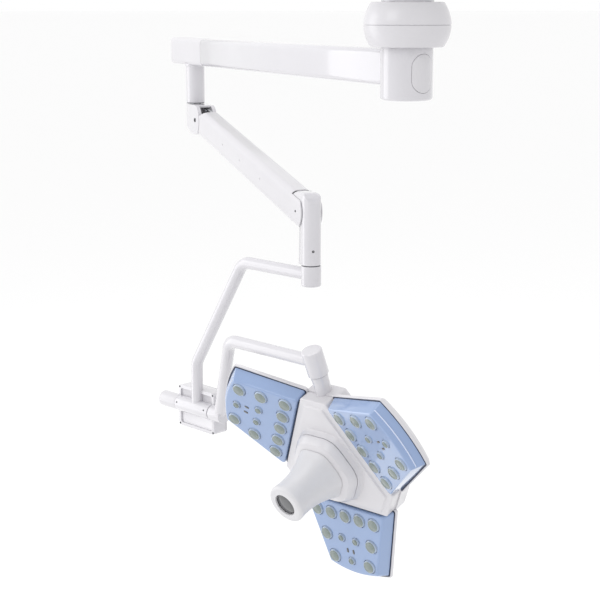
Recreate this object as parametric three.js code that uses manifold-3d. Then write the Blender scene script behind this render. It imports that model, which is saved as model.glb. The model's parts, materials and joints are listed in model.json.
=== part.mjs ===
// Ceiling-mounted operating light: hub, horizontal arm, spring arm, double-gimbal suspension
// and a three-petal LED head. Millimetres, +Z up, origin at the centre of the ceiling plate's
// top face. At rest the horizontal arm points along +Y.
import * as THREE from 'three';
import { mergeVertices } from 'three/addons/utils/BufferGeometryUtils.js';
import Module from 'manifold-3d';

const wasm = await Module();
wasm.setup();

// ---------------------------------------------------------------- driving dimensions
const GAP = 0.3; // clearance between pieces that touch
const deg = Math.PI / 180;

// ceiling column and hub
const PLATE_R = 115;
const PLATE_T = 12;
const PLATE_BOLT_CIRCLE_R = 92;
const PLATE_BOLT_HOLE_R = 5.5;
const CABLE_HOLE = [0, -36, 12]; // x, y and radius: clear of the plate's centre
const COLUMN_R = 57;
const COLUMN_WALL = 6;
const CANOPY_TOP = -112;
const CANOPY_MID = -161;
const CANOPY_BOTTOM = -207;
const CANOPY_R = 94.5;
const CANOPY_RIM_R = 78.5;
const HUB_BOTTOM = -320;
const SPINDLE_R = 22;

// horizontal arm
const ARM_Z = -252; // centre height of the beam
const ARM_W = 60;
const ARM_H = 78;
const ARM_WALL = 4;
const ARM_SEAM = 1198; // where the end cap begins
const ARM_TIP = 1460;
const DROP_X = 1322; // hub axis to drop-tube axis
const DROP_R = 27.75;
const DROP_SEAM = -405; // lower end of the drop tube

// spring arm, seen from the drop-tube axis at the seam
const SWIVEL_REST = 174.3; // heading of the spring arm relative to the horizontal arm
const ROOT_PIVOT = [98, -44.5]; // forward of the drop axis, below the seam
const KNUCKLE_R = 43;
const SPRING_L = 944; // pivot to pivot
const SPRING_PITCH = 8.83; // below horizontal at rest
const SHELL_W = 54;
const SHELL_H = 80;
const SHELL_WALL = 3;
const SLOT_HALF = 17.5; // half width of both fork slots
const LINK_RISE = 26; // parallel link above the main pivots
const PIN_R = 8;
const LINK_PIN_R = 5;
const LINK_Y = [5, 13]; // the link runs beside the load bar
const LINK_SLIT = 1.5; // room on each side of the link in the front knuckle

// front knuckle, seen from the front pivot
const STEM_X = 36.5; // pivot to the vertical swivel axis
const NECK_R = 23;
const KNUCKLE_TOP = 47;
const KNUCKLE_SEAM = -125;

// suspension: seen from the swivel axis at the seam, +X towards the joint block
const SUSPENSION_REST = -154.3; // heading relative to the spring arm
const COLLAR_R = 24;
const COLLAR_H = 50;
const TUBE_R = 15.5;
const SOCKET_R = 16.3; // bores that the suspension tubes enter
const BEND_R = 45;
const RUN_Z = -23; // height of the upper tube's horizontal run
const GIMBAL_Z = -437; // height of the tilt axis
const GIMBAL_X = -109; // where the tilt axis meets the head's swivel axis
const BLOCK_R = 21;
const BLOCK_X = [363, 495]; // joint block along the tilt axis
const BLOCK_CAP_X = 563;

// yoke: seen from the gimbal centre, +X along the tilt axis, +Z along the head's swivel axis
const YOKE_REST = -21.9;
const YOKE_HUB_X = [427, 472];
const YOKE_LEG_X = 444; // where the sloping leg would meet the tilt axis
const YOKE_LEG_SLOPE = 0.588;
const YOKE_RUN_Z = 258;
const CAP_R = 25;
const CAP_Z = [225, 290];
const STEM_R = 12;

// lamp head: +X along the neck, +Z out of the light; petals at 60, 180 and 300 degrees
const HEAD_REST = 1.7;
const LENS_Z = 47; // height of the inner row of lenses above the gimbal centre
const PETAL_RHO = 153; // distance of the inner row of lenses from the head's axis
const PETAL_TILT = 10; // outer edges lean towards the patient
const PETALS = { a: 60, b: -60, c: 180 };
const FACE_W = 7; // cover face above the lens plane
const BASE_W = -25; // cover's open edge below the lens plane
const FACE_ARC = 311; // outer edge of the cover face, radius from the head's axis
const BASE_ARC = 325; // outer edge of the cover's base
const COVER_WALL = 3;
const LENS_PITCH = 45;
const LENS_BIG = 17.5;
const LENS_SMALL = 10.5;
const BODY_LONG = 119; // flats of the central body that face the petals
const BODY_SHORT = 176; // flats of the central body between the petals
const BODY_BACK = -32;
const BODY_FRONT = 50;
const RING_Z = [64, 87];
const RING_R = [94, 72];
const HANDLE_TIP = 214;
const HANDLE_TIP_R = 52;
const WINDOW_R = 33;

// ---------------------------------------------------------------- materials
const paint = (color, roughness, metalness = 0) => (
  new THREE.MeshStandardMaterial({ color, roughness, metalness })
);
const WHITE = paint(0xf1f2f4, 0.28);
const SHELL_WHITE = paint(0xe9eaee, 0.4);
const BLUE = paint(0x9fb8dd, 0.12);
const RUBBER = paint(0x1b2233, 0.7);
const STEEL = paint(0xb9bdc2, 0.3, 0.9);
const BRASS = paint(0xc2a561, 0.35, 0.9);
const BOARD = paint(0xdfe6ea, 0.5);
const LENS = paint(0xcfdcd8, 0.08);
const DARK = paint(0x2c3036, 0.3);

// ---------------------------------------------------------------- solids
function signedVolume(position, index) {
  const [a, b, c] = [new THREE.Vector3(), new THREE.Vector3(), new THREE.Vector3()];
  let volume = 0;
  for (let i = 0; i < index.length; i += 3) {
    a.fromBufferAttribute(position, index[i]);
    b.fromBufferAttribute(position, index[i + 1]);
    c.fromBufferAttribute(position, index[i + 2]);
    volume += a.dot(b.cross(c)) / 6;
  }
  return volume;
}

function toManifold(geometry) {
  const bare = geometry.clone();
  bare.deleteAttribute('normal');
  bare.deleteAttribute('uv');
  const merged = mergeVertices(bare, 1e-3);
  const index = [];
  for (let i = 0; i < merged.index.count; i += 3) {
    const [a, b, c] = [0, 1, 2].map((k) => merged.index.getX(i + k));
    if (a !== b && b !== c && c !== a) index.push(a, b, c);
  }
  if (signedVolume(merged.attributes.position, index) < 0) index.reverse();
  return new wasm.Manifold(new wasm.Mesh({
    numProp: 3,
    vertProperties: Float32Array.from(merged.attributes.position.array),
    triVerts: Uint32Array.from(index),
  }));
}

function toGeometry(manifold) {
  const mesh = manifold.getMesh();
  const geometry = new THREE.BufferGeometry();
  geometry.setAttribute('position', new THREE.BufferAttribute(mesh.vertProperties, 3));
  geometry.setIndex(new THREE.BufferAttribute(mesh.triVerts, 1));
  return geometry;
}

const join = (first, ...rest) => toGeometry(
  rest.reduce((body, piece) => body.add(toManifold(piece)), toManifold(first)),
);
const cut = (first, ...rest) => toGeometry(
  rest.reduce((body, piece) => body.subtract(toManifold(piece)), toManifold(first)),
);
const common = (first, ...rest) => toGeometry(
  rest.reduce((body, piece) => body.intersect(toManifold(piece)), toManifold(first)),
);

// outlines
function roundedRect(width, height, radius) {
  const [x, y] = [width / 2 - radius, height / 2 - radius];
  const shape = new THREE.Shape();
  shape.absarc(x, y, radius, 0, 90 * deg);
  shape.absarc(-x, y, radius, 90 * deg, 180 * deg);
  shape.absarc(-x, -y, radius, 180 * deg, 270 * deg);
  shape.absarc(x, -y, radius, 270 * deg, 360 * deg);
  return shape;
}

function capsule(x0, x1, radius) {
  const shape = new THREE.Shape();
  shape.absarc(x1, 0, radius, -90 * deg, 90 * deg);
  shape.absarc(x0, 0, radius, 90 * deg, 270 * deg);
  return shape;
}

function polygon(points) {
  const shape = new THREE.Shape();
  points.forEach(([x, y], i) => (i ? shape.lineTo(x, y) : shape.moveTo(x, y)));
  return shape;
}

function withHoles(shape, circles) {
  for (const [x, y, radius] of circles) {
    shape.holes.push(new THREE.Path().absarc(x, y, radius, 0, 360 * deg));
  }
  return shape;
}

// extrusions: along Z, and across the X-Z plane along Y
function plate(shape, z0, z1, curveSegments = 4) {
  const geometry = new THREE.ExtrudeGeometry(shape, {
    depth: z1 - z0, bevelEnabled: false, curveSegments,
  });
  return geometry.translate(0, 0, z0);
}

// the outline's x, y become X, Z
const slab = (shape, y0, y1, curveSegments = 4) => (
  plate(shape, -y1, -y0, curveSegments).rotateX(90 * deg)
);

// the outline's x, y become Y, Z and the depth runs along X
const beam = (shape, x0, x1) => plate(shape, x0, x1).rotateZ(90 * deg).rotateY(90 * deg);

// turned pieces: profile of [radius, height] pairs, axis Z
function turned(profile, sides = 24) {
  const points = profile.map(([r, z]) => new THREE.Vector2(r, z));
  return new THREE.LatheGeometry(points, sides).rotateX(90 * deg);
}

const rod = (radius, z0, z1, sides = 20) => (
  turned([[0, z0], [radius, z0], [radius, z1], [0, z1]], sides)
);

function pipe(inner, outer, z0, z1, sides = 24) {
  return turned([[inner, z0], [outer, z0], [outer, z1], [inner, z1], [inner, z0]], sides);
}

const alongX = (geometry) => geometry.rotateY(90 * deg);
const alongY = (geometry) => geometry.rotateX(-90 * deg);

// a route through given points, one extrusion step from each to the next
class Route extends THREE.Curve {
  constructor(points) {
    super();
    this.points = points;
  }

  getUtoTmapping(u) {
    return u;
  }

  getPoint(t) {
    const place = t * (this.points.length - 1);
    const i = Math.min(Math.floor(place), this.points.length - 2);
    return this.points[i].clone().lerp(this.points[i + 1], place - i);
  }
}

// a round bar along a bent route in the X-Z plane
function bentTube(route, radius) {
  const corners = route.map(([x, z]) => new THREE.Vector3(x, 0, z));
  const points = [corners[0]];
  for (let i = 1; i < corners.length - 1; i += 1) {
    const before = corners[i - 1].clone().sub(corners[i]).normalize();
    const after = corners[i + 1].clone().sub(corners[i]).normalize();
    const reach = BEND_R / Math.tan(before.angleTo(after) / 2);
    const enter = corners[i].clone().addScaledVector(before, reach);
    const leave = corners[i].clone().addScaledVector(after, reach);
    points.push(...new THREE.QuadraticBezierCurve3(enter, corners[i], leave).getPoints(6));
  }
  points.push(corners.at(-1));
  const circle = new THREE.Shape().absarc(0, 0, radius, 0, 360 * deg);
  return new THREE.ExtrudeGeometry(circle, {
    steps: points.length - 1, extrudePath: new Route(points), curveSegments: 8,
  });
}

// ---------------------------------------------------------------- assembly helpers
function frame(name, parent, position = [0, 0, 0], rotation = [0, 0, 0]) {
  const group = new THREE.Group();
  group.name = name;
  group.position.set(...position);
  group.rotation.set(...rotation.map((angle) => angle * deg));
  parent.add(group);
  return group;
}

function piece(name, geometry, material, parent) {
  const mesh = new THREE.Mesh(toGeometry(toManifold(geometry)), material);
  mesh.name = name;
  mesh.geometry.computeVertexNormals();
  parent.add(mesh);
}

// ---------------------------------------------------------------- ceiling column
function addCeilingColumn(parent) {
  const bolts = Array.from({ length: 6 }, (_, i) => [
    PLATE_BOLT_CIRCLE_R * Math.cos(i * 60 * deg),
    PLATE_BOLT_CIRCLE_R * Math.sin(i * 60 * deg),
    PLATE_BOLT_HOLE_R,
  ]);
  const disc = new THREE.Shape().absarc(0, 0, PLATE_R, 0, 360 * deg);
  const plateShape = withHoles(disc, [...bolts, CABLE_HOLE]);
  piece('ceiling_plate', plate(plateShape, -PLATE_T, 0, 10), STEEL, parent);

  const inner = COLUMN_R - COLUMN_WALL;
  const lip = 42;
  const [top, bottom] = [-PLATE_T - GAP, CANOPY_BOTTOM + 1];
  piece('ceiling_tube', turned([
    [inner, top], [COLUMN_R, top], [COLUMN_R, bottom], [lip, bottom],
    [lip, bottom + 6], [inner, bottom + 6], [inner, top],
  ], 32), WHITE, parent);

  const flange = bottom + 6 + GAP;
  piece('hub_spindle', turned([
    [14, flange + 10], [inner - GAP, flange + 10], [inner - GAP, flange],
    [SPINDLE_R, flange], [SPINDLE_R, HUB_BOTTOM + 22], [14, HUB_BOTTOM + 22],
    [14, flange + 10],
  ]), STEEL, parent);
  piece('hub_stop_core', turned([
    [0, HUB_BOTTOM + 12], [8, HUB_BOTTOM + 12], [8, HUB_BOTTOM + 30],
    [13, HUB_BOTTOM + 30], [13, HUB_BOTTOM + 70], [0, HUB_BOTTOM + 70],
  ], 16), BRASS, parent);
  addCanopy(parent);
}

// bulged cover ring, open on the inside where the column passes through
function addCanopy(parent) {
  const wall = 3;
  const profile = (inset) => [CANOPY_BOTTOM + inset, CANOPY_MID, CANOPY_TOP - inset].map(
    (z, i) => new THREE.Vector2((i === 1 ? CANOPY_R : CANOPY_RIM_R) - inset, z),
  );
  const bulge = (inset, steps) => {
    const [low, mid, high] = profile(inset);
    const control = new THREE.Vector2(2 * mid.x - (low.x + high.x) / 2, mid.y);
    return new THREE.QuadraticBezierCurve(low, control, high).getPoints(steps);
  };
  const outer = bulge(0, 8).map(({ x, y }) => [x, y]);
  const inside = bulge(wall, 3).map(({ x, y }) => [x, y]).reverse();
  const bore = COLUMN_R + 1;
  piece('canopy', turned([
    ...outer, [bore, CANOPY_TOP], [bore, CANOPY_TOP - wall], ...inside,
    [bore, CANOPY_BOTTOM + wall], [bore, CANOPY_BOTTOM], outer[0],
  ], 36), WHITE, parent);
}

// ---------------------------------------------------------------- horizontal arm
const COVER_TURN = 191; // heading of the hub's access cover

function accessOutline(grow) {
  const [half, height] = [27 + grow, 82 + 2 * grow];
  const middle = HUB_BOTTOM + 17 + 41;
  const outline = capsule(-(height / 2 - half), height / 2 - half, half);
  return beam(outline, 30, 80).rotateX(90 * deg).translate(0, 0, middle).rotateZ(COVER_TURN * deg);
}

function addHub(parent) {
  const top = CANOPY_BOTTOM + 1 - GAP * 2;
  const wall = 6;
  const shell = turned([
    [SPINDLE_R + 1, top], [SPINDLE_R + 1, top - 6], [COLUMN_R - wall, top - 6],
    [COLUMN_R - wall, HUB_BOTTOM + wall], [0, HUB_BOTTOM + wall], [0, HUB_BOTTOM],
    [COLUMN_R - 5, HUB_BOTTOM], [COLUMN_R - 1.5, HUB_BOTTOM + 1.5],
    [COLUMN_R, HUB_BOTTOM + 5], [COLUMN_R, top], [SPINDLE_R + 1, top],
  ], 36);
  piece('hub_housing', cut(shell, accessOutline(GAP)), WHITE, parent);
  const skin = pipe(COLUMN_R - 3, COLUMN_R + 0.8, HUB_BOTTOM, top, 36);
  piece('hub_access_cover', common(skin, accessOutline(0)), WHITE, parent);

  const seats = { hub_bearing_upper: top - 24, hub_bearing_lower: HUB_BOTTOM + 34 };
  for (const [name, z] of Object.entries(seats)) {
    piece(name, pipe(SPINDLE_R + GAP, COLUMN_R - wall - GAP, z, z + 14), STEEL, parent);
  }
}

function addHorizontalArm(parent) {
  const section = (inset) => roundedRect(ARM_W - 2 * inset, ARM_H - 2 * inset, 12 - inset);
  const hollow = (x0, x1) => {
    const outline = section(0);
    outline.holes.push(section(ARM_WALL));
    return beam(outline, x0, x1).translate(0, 0, ARM_Z);
  };
  const hubClear = rod(COLUMN_R + GAP, HUB_BOTTOM, CANOPY_BOTTOM, 48);
  piece('arm_beam', cut(hollow(30, ARM_SEAM - GAP), hubClear), WHITE, parent);

  const nose = 10;
  const capBody = join(
    hollow(ARM_SEAM, ARM_TIP - nose),
    beam(section(0), ARM_TIP - nose - 4, ARM_TIP - nose).translate(0, 0, ARM_Z),
    beam(section(4), ARM_TIP - nose, ARM_TIP).translate(0, 0, ARM_Z),
  );
  const tubeHole = rod(DROP_R + 1, ARM_Z - ARM_H, ARM_Z).translate(DROP_X, 0, 0);
  piece('arm_end_cap', cut(capBody, tubeHole), WHITE, parent);

  const socketTop = ARM_Z + 30;
  const inner = [ARM_W - 2 * ARM_WALL - 2 * GAP, 50];
  const tongue = beam(roundedRect(inner[0], inner[1], 6), ARM_SEAM - 70, DROP_X);
  const sleeve = rod(25.5, -30, 28, 32).translate(DROP_X, 0, 0);
  const bore = rod(DROP_R - 6 + GAP, -40, 22, 32).translate(DROP_X, 0, 0);
  const socket = cut(join(tongue, sleeve), bore).translate(0, 0, ARM_Z);
  piece('drop_socket', socket, STEEL, parent);

  const shoulder = ARM_Z - 30 - GAP;
  piece('drop_tube', turned([
    [18, DROP_SEAM], [DROP_R, DROP_SEAM], [DROP_R, shoulder], [DROP_R - 6, shoulder],
    [DROP_R - 6, socketTop - 10], [18, socketTop - 10], [18, DROP_SEAM],
  ]).translate(DROP_X, 0, 0), WHITE, parent);
}

// ---------------------------------------------------------------- spring arm
function forkSlot(x0, x1, z0, z1) {
  return slab(polygon([[x0, z0], [x1, z0], [x1, z1], [x0, z1]]), -SLOT_HALF, SLOT_HALF);
}

const crossHole = (radius, x, z) => alongY(rod(radius, -60, 60)).translate(x, 0, z);

function addUpperKnuckle(parent) {
  const [px, pz] = ROOT_PIVOT;
  const side = new THREE.Shape();
  side.moveTo(-DROP_R, -GAP * 3);
  side.lineTo(-DROP_R, -62);
  side.lineTo(58, pz - KNUCKLE_R);
  side.absarc(px, pz, KNUCKLE_R, -90 * deg, 90 * deg);
  side.lineTo(px - 30, -GAP * 3);
  const profile = slab(side, -DROP_R, DROP_R, 8);
  const plan = plate(capsule(0, px + 60, DROP_R), -120, 10, 12);
  const stemHole = rod(15 + GAP, -32, 10);
  piece('upper_knuckle_casting', cut(
    common(profile, plan),
    forkSlot(px - 34, px + 60, -120, 10),
    crossHole(PIN_R + GAP, px, pz),
    crossHole(LINK_PIN_R + GAP, px, pz + LINK_RISE),
    stemHole,
  ), WHITE, parent);
  piece('upper_swivel_stem', turned([
    [0, -31], [15, -31], [15, 0], [17.6, 1], [17.6, 120], [0, 120],
  ], 24), STEEL, parent);
  const pin = alongY(rod(PIN_R, -DROP_R + 2, DROP_R - 2)).translate(px, 0, pz);
  piece('upper_pivot_pin', pin, STEEL, parent);
  const linkPin = alongY(rod(LINK_PIN_R, 3, DROP_R - 2, 16));
  piece('upper_link_pin', linkPin.translate(px, 0, pz + LINK_RISE), STEEL, parent);
}

// local frame: X from the root pivot to the front pivot, Z up
function addSpringArm(parent) {
  const half = SHELL_H / 2;
  const outer = common(
    beam(roundedRect(SHELL_W, SHELL_H, 18), 0, SPRING_L + half),
    slab(capsule(0, SPRING_L, half), -SHELL_W, SHELL_W, 10),
  );
  const innerH = SHELL_H - 2 * SHELL_WALL;
  const core = beam(roundedRect(SHELL_W - 2 * SHELL_WALL, innerH, 12), -60, SPRING_L + 60);
  const mouth = beam(
    roundedRect(SHELL_W - 2 * SHELL_WALL, SHELL_H + 20, 1), SPRING_L - half - 1, SPRING_L + 60,
  );
  const rootClear = alongY(rod(KNUCKLE_R + 2, -60, 60, 40));
  const rootRelief = slab(
    polygon([[0, 60], [0, 15], [KNUCKLE_R + 5, 24], [110, 60]]), -SHELL_W, SHELL_W,
  );
  piece('spring_arm_shell', cut(outer, core, mouth, rootClear, rootRelief), SHELL_WHITE, parent);

  const bar = withHoles(capsule(0, SPRING_L, 20), [
    [0, 0, PIN_R + GAP], [SPRING_L, 0, PIN_R + GAP],
  ]);
  const [axisY, axisZ] = [11, -17];
  const seat = cut(
    slab(polygon([[300, -31], [312, -31], [312, -4], [300, -4]]), -4, 21),
    alongX(rod(4 + GAP, 290, 320, 16)).translate(0, axisY, axisZ),
  );
  piece('spring_arm_bar', join(slab(bar, -16, 0, 8), seat), STEEL, parent);
  const springRod = alongX(rod(4, 230, 650, 16)).translate(0, axisY, axisZ);
  piece('spring_rod', springRod, STEEL, parent);
  const nut = alongX(pipe(5.2, 9, 621, 633, 6)).translate(0, axisY, axisZ);
  piece('spring_nut', nut, BRASS, parent);
  piece('balance_spring', coil(8, 1.8, 316, 617, 14).translate(0, axisY, axisZ), STEEL, parent);
}

// helical spring along X
class Helix extends THREE.Curve {
  constructor(radius, x0, x1, turns) {
    super();
    Object.assign(this, { radius, x0, x1, turns });
  }

  getPoint(t) {
    const angle = t * this.turns * 2 * Math.PI;
    const x = this.x0 + (this.x1 - this.x0) * t;
    return new THREE.Vector3(x, this.radius * Math.cos(angle), this.radius * Math.sin(angle));
  }
}

function coil(radius, wire, x0, x1, turns) {
  const section = new THREE.Shape().absarc(0, 0, wire, 0, 360 * deg);
  return new THREE.ExtrudeGeometry(section, {
    steps: turns * 6, extrudePath: new Helix(radius, x0, x1, turns), curveSegments: 2,
  });
}

function addParallelLink(parent) {
  const bar = withHoles(capsule(0, SPRING_L, 9), [
    [0, 0, LINK_PIN_R + GAP], [SPRING_L, 0, LINK_PIN_R + 0.6],
  ]);
  piece('parallel_link', slab(bar, ...LINK_Y, 6), STEEL, parent);
}

// ---------------------------------------------------------------- front knuckle
function addFrontKnuckle(parent) {
  const [back, front] = [STEM_X - NECK_R, STEM_X + NECK_R];
  const crown = 22;
  const side = new THREE.Shape();
  side.moveTo(back, KNUCKLE_SEAM + GAP * 3);
  side.lineTo(front, KNUCKLE_SEAM + GAP * 3);
  side.absarc(front - crown, KNUCKLE_TOP - crown, crown, 0, 90 * deg);
  side.lineTo(0, KNUCKLE_TOP);
  side.absarc(0, 0, 34, 120 * deg, 300 * deg);
  const profile = slab(side, -NECK_R, NECK_R, 8);
  const plan = plate(capsule(-60, STEM_X, NECK_R), KNUCKLE_SEAM - 10, KNUCKLE_TOP + 10, 12);
  // slit in the roof that the link rises into as the spring arm goes down
  const roof = KNUCKLE_TOP + 10;
  const linkSlit = slab(
    polygon([[-60, LINK_RISE + 4], [5, LINK_RISE + 4], [5, roof], [-60, roof]]),
    LINK_Y[0] - LINK_SLIT, LINK_Y[1] + LINK_SLIT,
  );
  piece('front_knuckle_casting', cut(
    common(profile, plan),
    forkSlot(-60, 24, -60, 38),
    linkSlit,
    crossHole(PIN_R + GAP, 0, 0),
    crossHole(LINK_PIN_R + GAP, 0, LINK_RISE),
    rod(10 + GAP, KNUCKLE_SEAM - 5, KNUCKLE_SEAM + 40).translate(STEM_X, 0, 0),
  ), WHITE, parent);
  piece('front_pivot_pin', alongY(rod(PIN_R, -NECK_R, NECK_R)), STEEL, parent);
  const stem = turned([
    [0, KNUCKLE_SEAM - 44], [STEM_R - 1, KNUCKLE_SEAM - 44], [STEM_R - 1, KNUCKLE_SEAM - 36],
    [10, KNUCKLE_SEAM - 36], [10, KNUCKLE_SEAM + 38], [0, KNUCKLE_SEAM + 38],
  ]);
  piece('front_swivel_stem', stem.translate(STEM_X, 0, 0), STEEL, parent);
}

// ---------------------------------------------------------------- suspension
const upperRoute = [[15, RUN_Z], [239, RUN_Z], [423, GIMBAL_Z + 124], [424, GIMBAL_Z + 12]];

function addSuspension(parent) {
  const edge = 4;
  const collar = turned([
    [STEM_R + GAP, -GAP * 3], [COLLAR_R, -GAP * 3], [COLLAR_R, edge - COLLAR_H],
    [COLLAR_R - edge, -COLLAR_H], [0, -COLLAR_H], [0, 3 - COLLAR_H],
    [STEM_R + GAP, 3 - COLLAR_H], [STEM_R + GAP, -GAP * 3],
  ]);
  const sideSocket = alongX(rod(SOCKET_R, 13, 60)).translate(0, 0, RUN_Z);
  piece('swivel_collar', cut(collar, sideSocket), WHITE, parent);
  piece('upper_suspension_tube', bentTube(upperRoute, TUBE_R), WHITE, parent);

  const [x0, x1] = BLOCK_X;
  const barrel = alongX(rod(BLOCK_R, x0 + GAP, x1, 40)).translate(0, 0, GIMBAL_Z);
  const shaftBore = alongX(rod(10 + GAP, x0 - 5, x1 - 12)).translate(0, 0, GIMBAL_Z);
  const tubeClear = rod(SOCKET_R, GIMBAL_Z + 11, GIMBAL_Z + 90).translate(424, 0, 0);
  piece('joint_block', cut(barrel, shaftBore, tubeClear), WHITE, parent);
  piece('block_end_cap', alongX(turned([
    [0, x1 + GAP], [BLOCK_R - 0.6, x1 + GAP], [BLOCK_R - 0.6, BLOCK_CAP_X - 5],
    [BLOCK_R - 5, BLOCK_CAP_X], [0, BLOCK_CAP_X],
  ], 40)).translate(0, 0, GIMBAL_Z), WHITE, parent);

  const [width, height] = [x1 - x0 + 12, 112];
  const middle = [(x0 + x1) / 2, GIMBAL_Z - 6];
  const barrelClear = alongX(rod(BLOCK_R + GAP, x0 - 40, x1 + 40, 40)).translate(0, 0, GIMBAL_Z);
  const boxSlab = (inset, y0, y1, radius) => (
    slab(roundedRect(width - 2 * inset, height - 2 * inset, radius), y0, y1)
      .translate(middle[0], 0, middle[1])
  );
  const box = cut(
    boxSlab(0, -41, 0, 10), boxSlab(9, -3, 5, 5), boxSlab(4, -45, -25, 6),
    barrelClear, tubeClear,
  );
  piece('control_box', box, WHITE, parent);
  piece('control_box_lid', boxSlab(0, -44, -41 - GAP, 10), SHELL_WHITE, parent);
  piece('control_board', boxSlab(10, -34, -32, 3), BOARD, parent);
}

// ---------------------------------------------------------------- yoke
function addYoke(parent) {
  const [x0, x1] = YOKE_HUB_X;
  const legStart = 6;
  const corner = YOKE_LEG_X - YOKE_LEG_SLOPE * YOKE_RUN_Z;
  const route = [
    [14, YOKE_RUN_Z], [corner, YOKE_RUN_Z], [YOKE_LEG_X - YOKE_LEG_SLOPE * legStart, legStart],
  ];
  const lean = Math.atan(YOKE_LEG_SLOPE);
  const legClear = rod(SOCKET_R, legStart - 1, 90).rotateY(-lean).translate(YOKE_LEG_X, 0, 0);
  const hub = alongX(rod(BLOCK_R, x0, x1 - GAP, 40));
  const shaftBore = alongX(rod(10 + GAP, x0 + 5, x1 + 5));
  piece('yoke_hub', cut(hub, shaftBore, legClear), WHITE, parent);
  piece('tilt_shaft', alongX(rod(10, x0 + 6, x1 + 112)), STEEL, parent);
  const shaftClear = alongX(rod(10 + 2 * GAP, x0 - 20, x1 + 20));
  piece('yoke_tube', cut(bentTube(route, TUBE_R), shaftClear), WHITE, parent);

  const [low, high] = CAP_Z;
  const cap = turned([
    [STEM_R + GAP, low + GAP * 3], [CAP_R, low + GAP * 3], [CAP_R, high - 6],
    [CAP_R - 2, high - 2], [CAP_R - 6, high], [0, high], [0, high - 8],
    [STEM_R + GAP, high - 8], [STEM_R + GAP, low + GAP * 3],
  ]);
  const sideSocket = alongX(rod(SOCKET_R, 13, 60)).translate(0, 0, YOKE_RUN_Z);
  piece('pivot_cap', cut(cap, sideSocket), WHITE, parent);
}

// ---------------------------------------------------------------- lamp head
// places a solid made in a petal's own frame: X outward, Y across, Z out of the lens plane
function onPetal(geometry, heading) {
  return geometry.rotateY(-PETAL_TILT * deg).translate(PETAL_RHO, 0, LENS_Z)
    .rotateZ(heading * deg);
}

// petal outline at one level: straight inner edge and sides, arc about the head's axis outside
function petalOutline(inner, innerHalf, outer, outerHalf, bulge) {
  const shape = new THREE.Shape();
  shape.moveTo(inner, -innerHalf);
  shape.lineTo(outer, -outerHalf);
  shape.quadraticCurveTo(outer + 2 * bulge, 0, outer, outerHalf);
  shape.lineTo(inner, innerHalf);
  return shape;
}

// outline of the cover at height w, moved inwards by an inset
function coverOutline(w, inset = 0) {
  const t = (w - BASE_W) / (FACE_W - BASE_W);
  const mix = (base, face) => base + (face - base) * t;
  const arc = mix(BASE_ARC, FACE_ARC) - PETAL_RHO - inset;
  const bulge = mix(13, 12);
  return petalOutline(
    mix(-34, -30) + inset, mix(136, 126) - inset * 1.3,
    arc - bulge, mix(87, 79) - inset * 1.1, bulge,
  );
}

// solid between two outlines with equal point counts
function loft(lower, z0, upper, z1) {
  const rings = [lower, upper].map((shape) => shape.getPoints(10));
  const count = rings[0].length;
  const vertices = [];
  rings.forEach((ring, k) => ring.forEach(({ x, y }) => vertices.push(x, y, k ? z1 : z0)));
  const index = [];
  for (let i = 0; i < count; i += 1) {
    const j = (i + 1) % count;
    index.push(i, j, count + j, i, count + j, count + i);
  }
  for (const [a, b, c] of THREE.ShapeUtils.triangulateShape(rings[0], [])) index.push(c, b, a);
  for (const [a, b, c] of THREE.ShapeUtils.triangulateShape(rings[1], [])) {
    index.push(count + a, count + b, count + c);
  }
  const geometry = new THREE.BufferGeometry();
  geometry.setAttribute('position', new THREE.Float32BufferAttribute(vertices, 3));
  return geometry.setIndex(index);
}

function lensPlaces() {
  const big = [-2, -1, 0, 1, 2].map((k) => [0, k * LENS_PITCH]);
  big.push([64, -71.5], [64, 71.5], [123, -55.5], [123, 55.5]);
  return { big, small: [[64, -22.5], [64, 22.5], [123, 0]] };
}

function addPetal(letter, heading, parent) {
  const cover = cut(
    loft(coverOutline(BASE_W), BASE_W, coverOutline(FACE_W), FACE_W),
    loft(
      coverOutline(BASE_W, COVER_WALL), BASE_W - 1,
      coverOutline(FACE_W, COVER_WALL), FACE_W - COVER_WALL,
    ),
  );
  piece(`petal_cover_${letter}`, onPetal(cover, heading), BLUE, parent);

  const seal = coverOutline(BASE_W, -1.5);
  seal.holes.push(coverOutline(BASE_W, COVER_WALL));
  const gasket = plate(seal, BASE_W - 2.2, BASE_W - GAP, 6);
  piece(`petal_gasket_${letter}`, onPetal(gasket, heading), RUBBER, parent);

  const board = plate(coverOutline(BASE_W + 8, 5), BASE_W + 6, BASE_W + 8, 6);
  piece(`led_board_${letter}`, onPetal(board, heading), BOARD, parent);

  const { big, small } = lensPlaces();
  const cell = (radius) => ([x, y]) => rod(radius, BASE_W + 9, FACE_W - 4, 8).translate(x, y, 0);
  const carrier = plate(coverOutline(BASE_W + 12, 6), BASE_W + 9, BASE_W + 12, 6);
  const cells = [...big.map(cell(LENS_BIG)), ...small.map(cell(LENS_SMALL))];
  piece(`lens_array_${letter}`, onPetal(join(carrier, ...cells), heading), LENS, parent);
}

// six-sided outline: long flats face the petals, short flats lie between them
function bodyOutline(longInset, shortInset = longInset) {
  const [long, short] = [BODY_LONG - longInset, BODY_SHORT - shortInset];
  const half = (2 * long - short) / Math.sqrt(3);
  const corners = [];
  for (const heading of [0, 120, 240]) {
    for (const side of [-1, 1]) {
      const corner = new THREE.Vector2(short, side * half);
      corner.rotateAround(new THREE.Vector2(), heading * deg);
      corners.push([corner.x, corner.y]);
    }
  }
  return polygon(corners);
}

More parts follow.
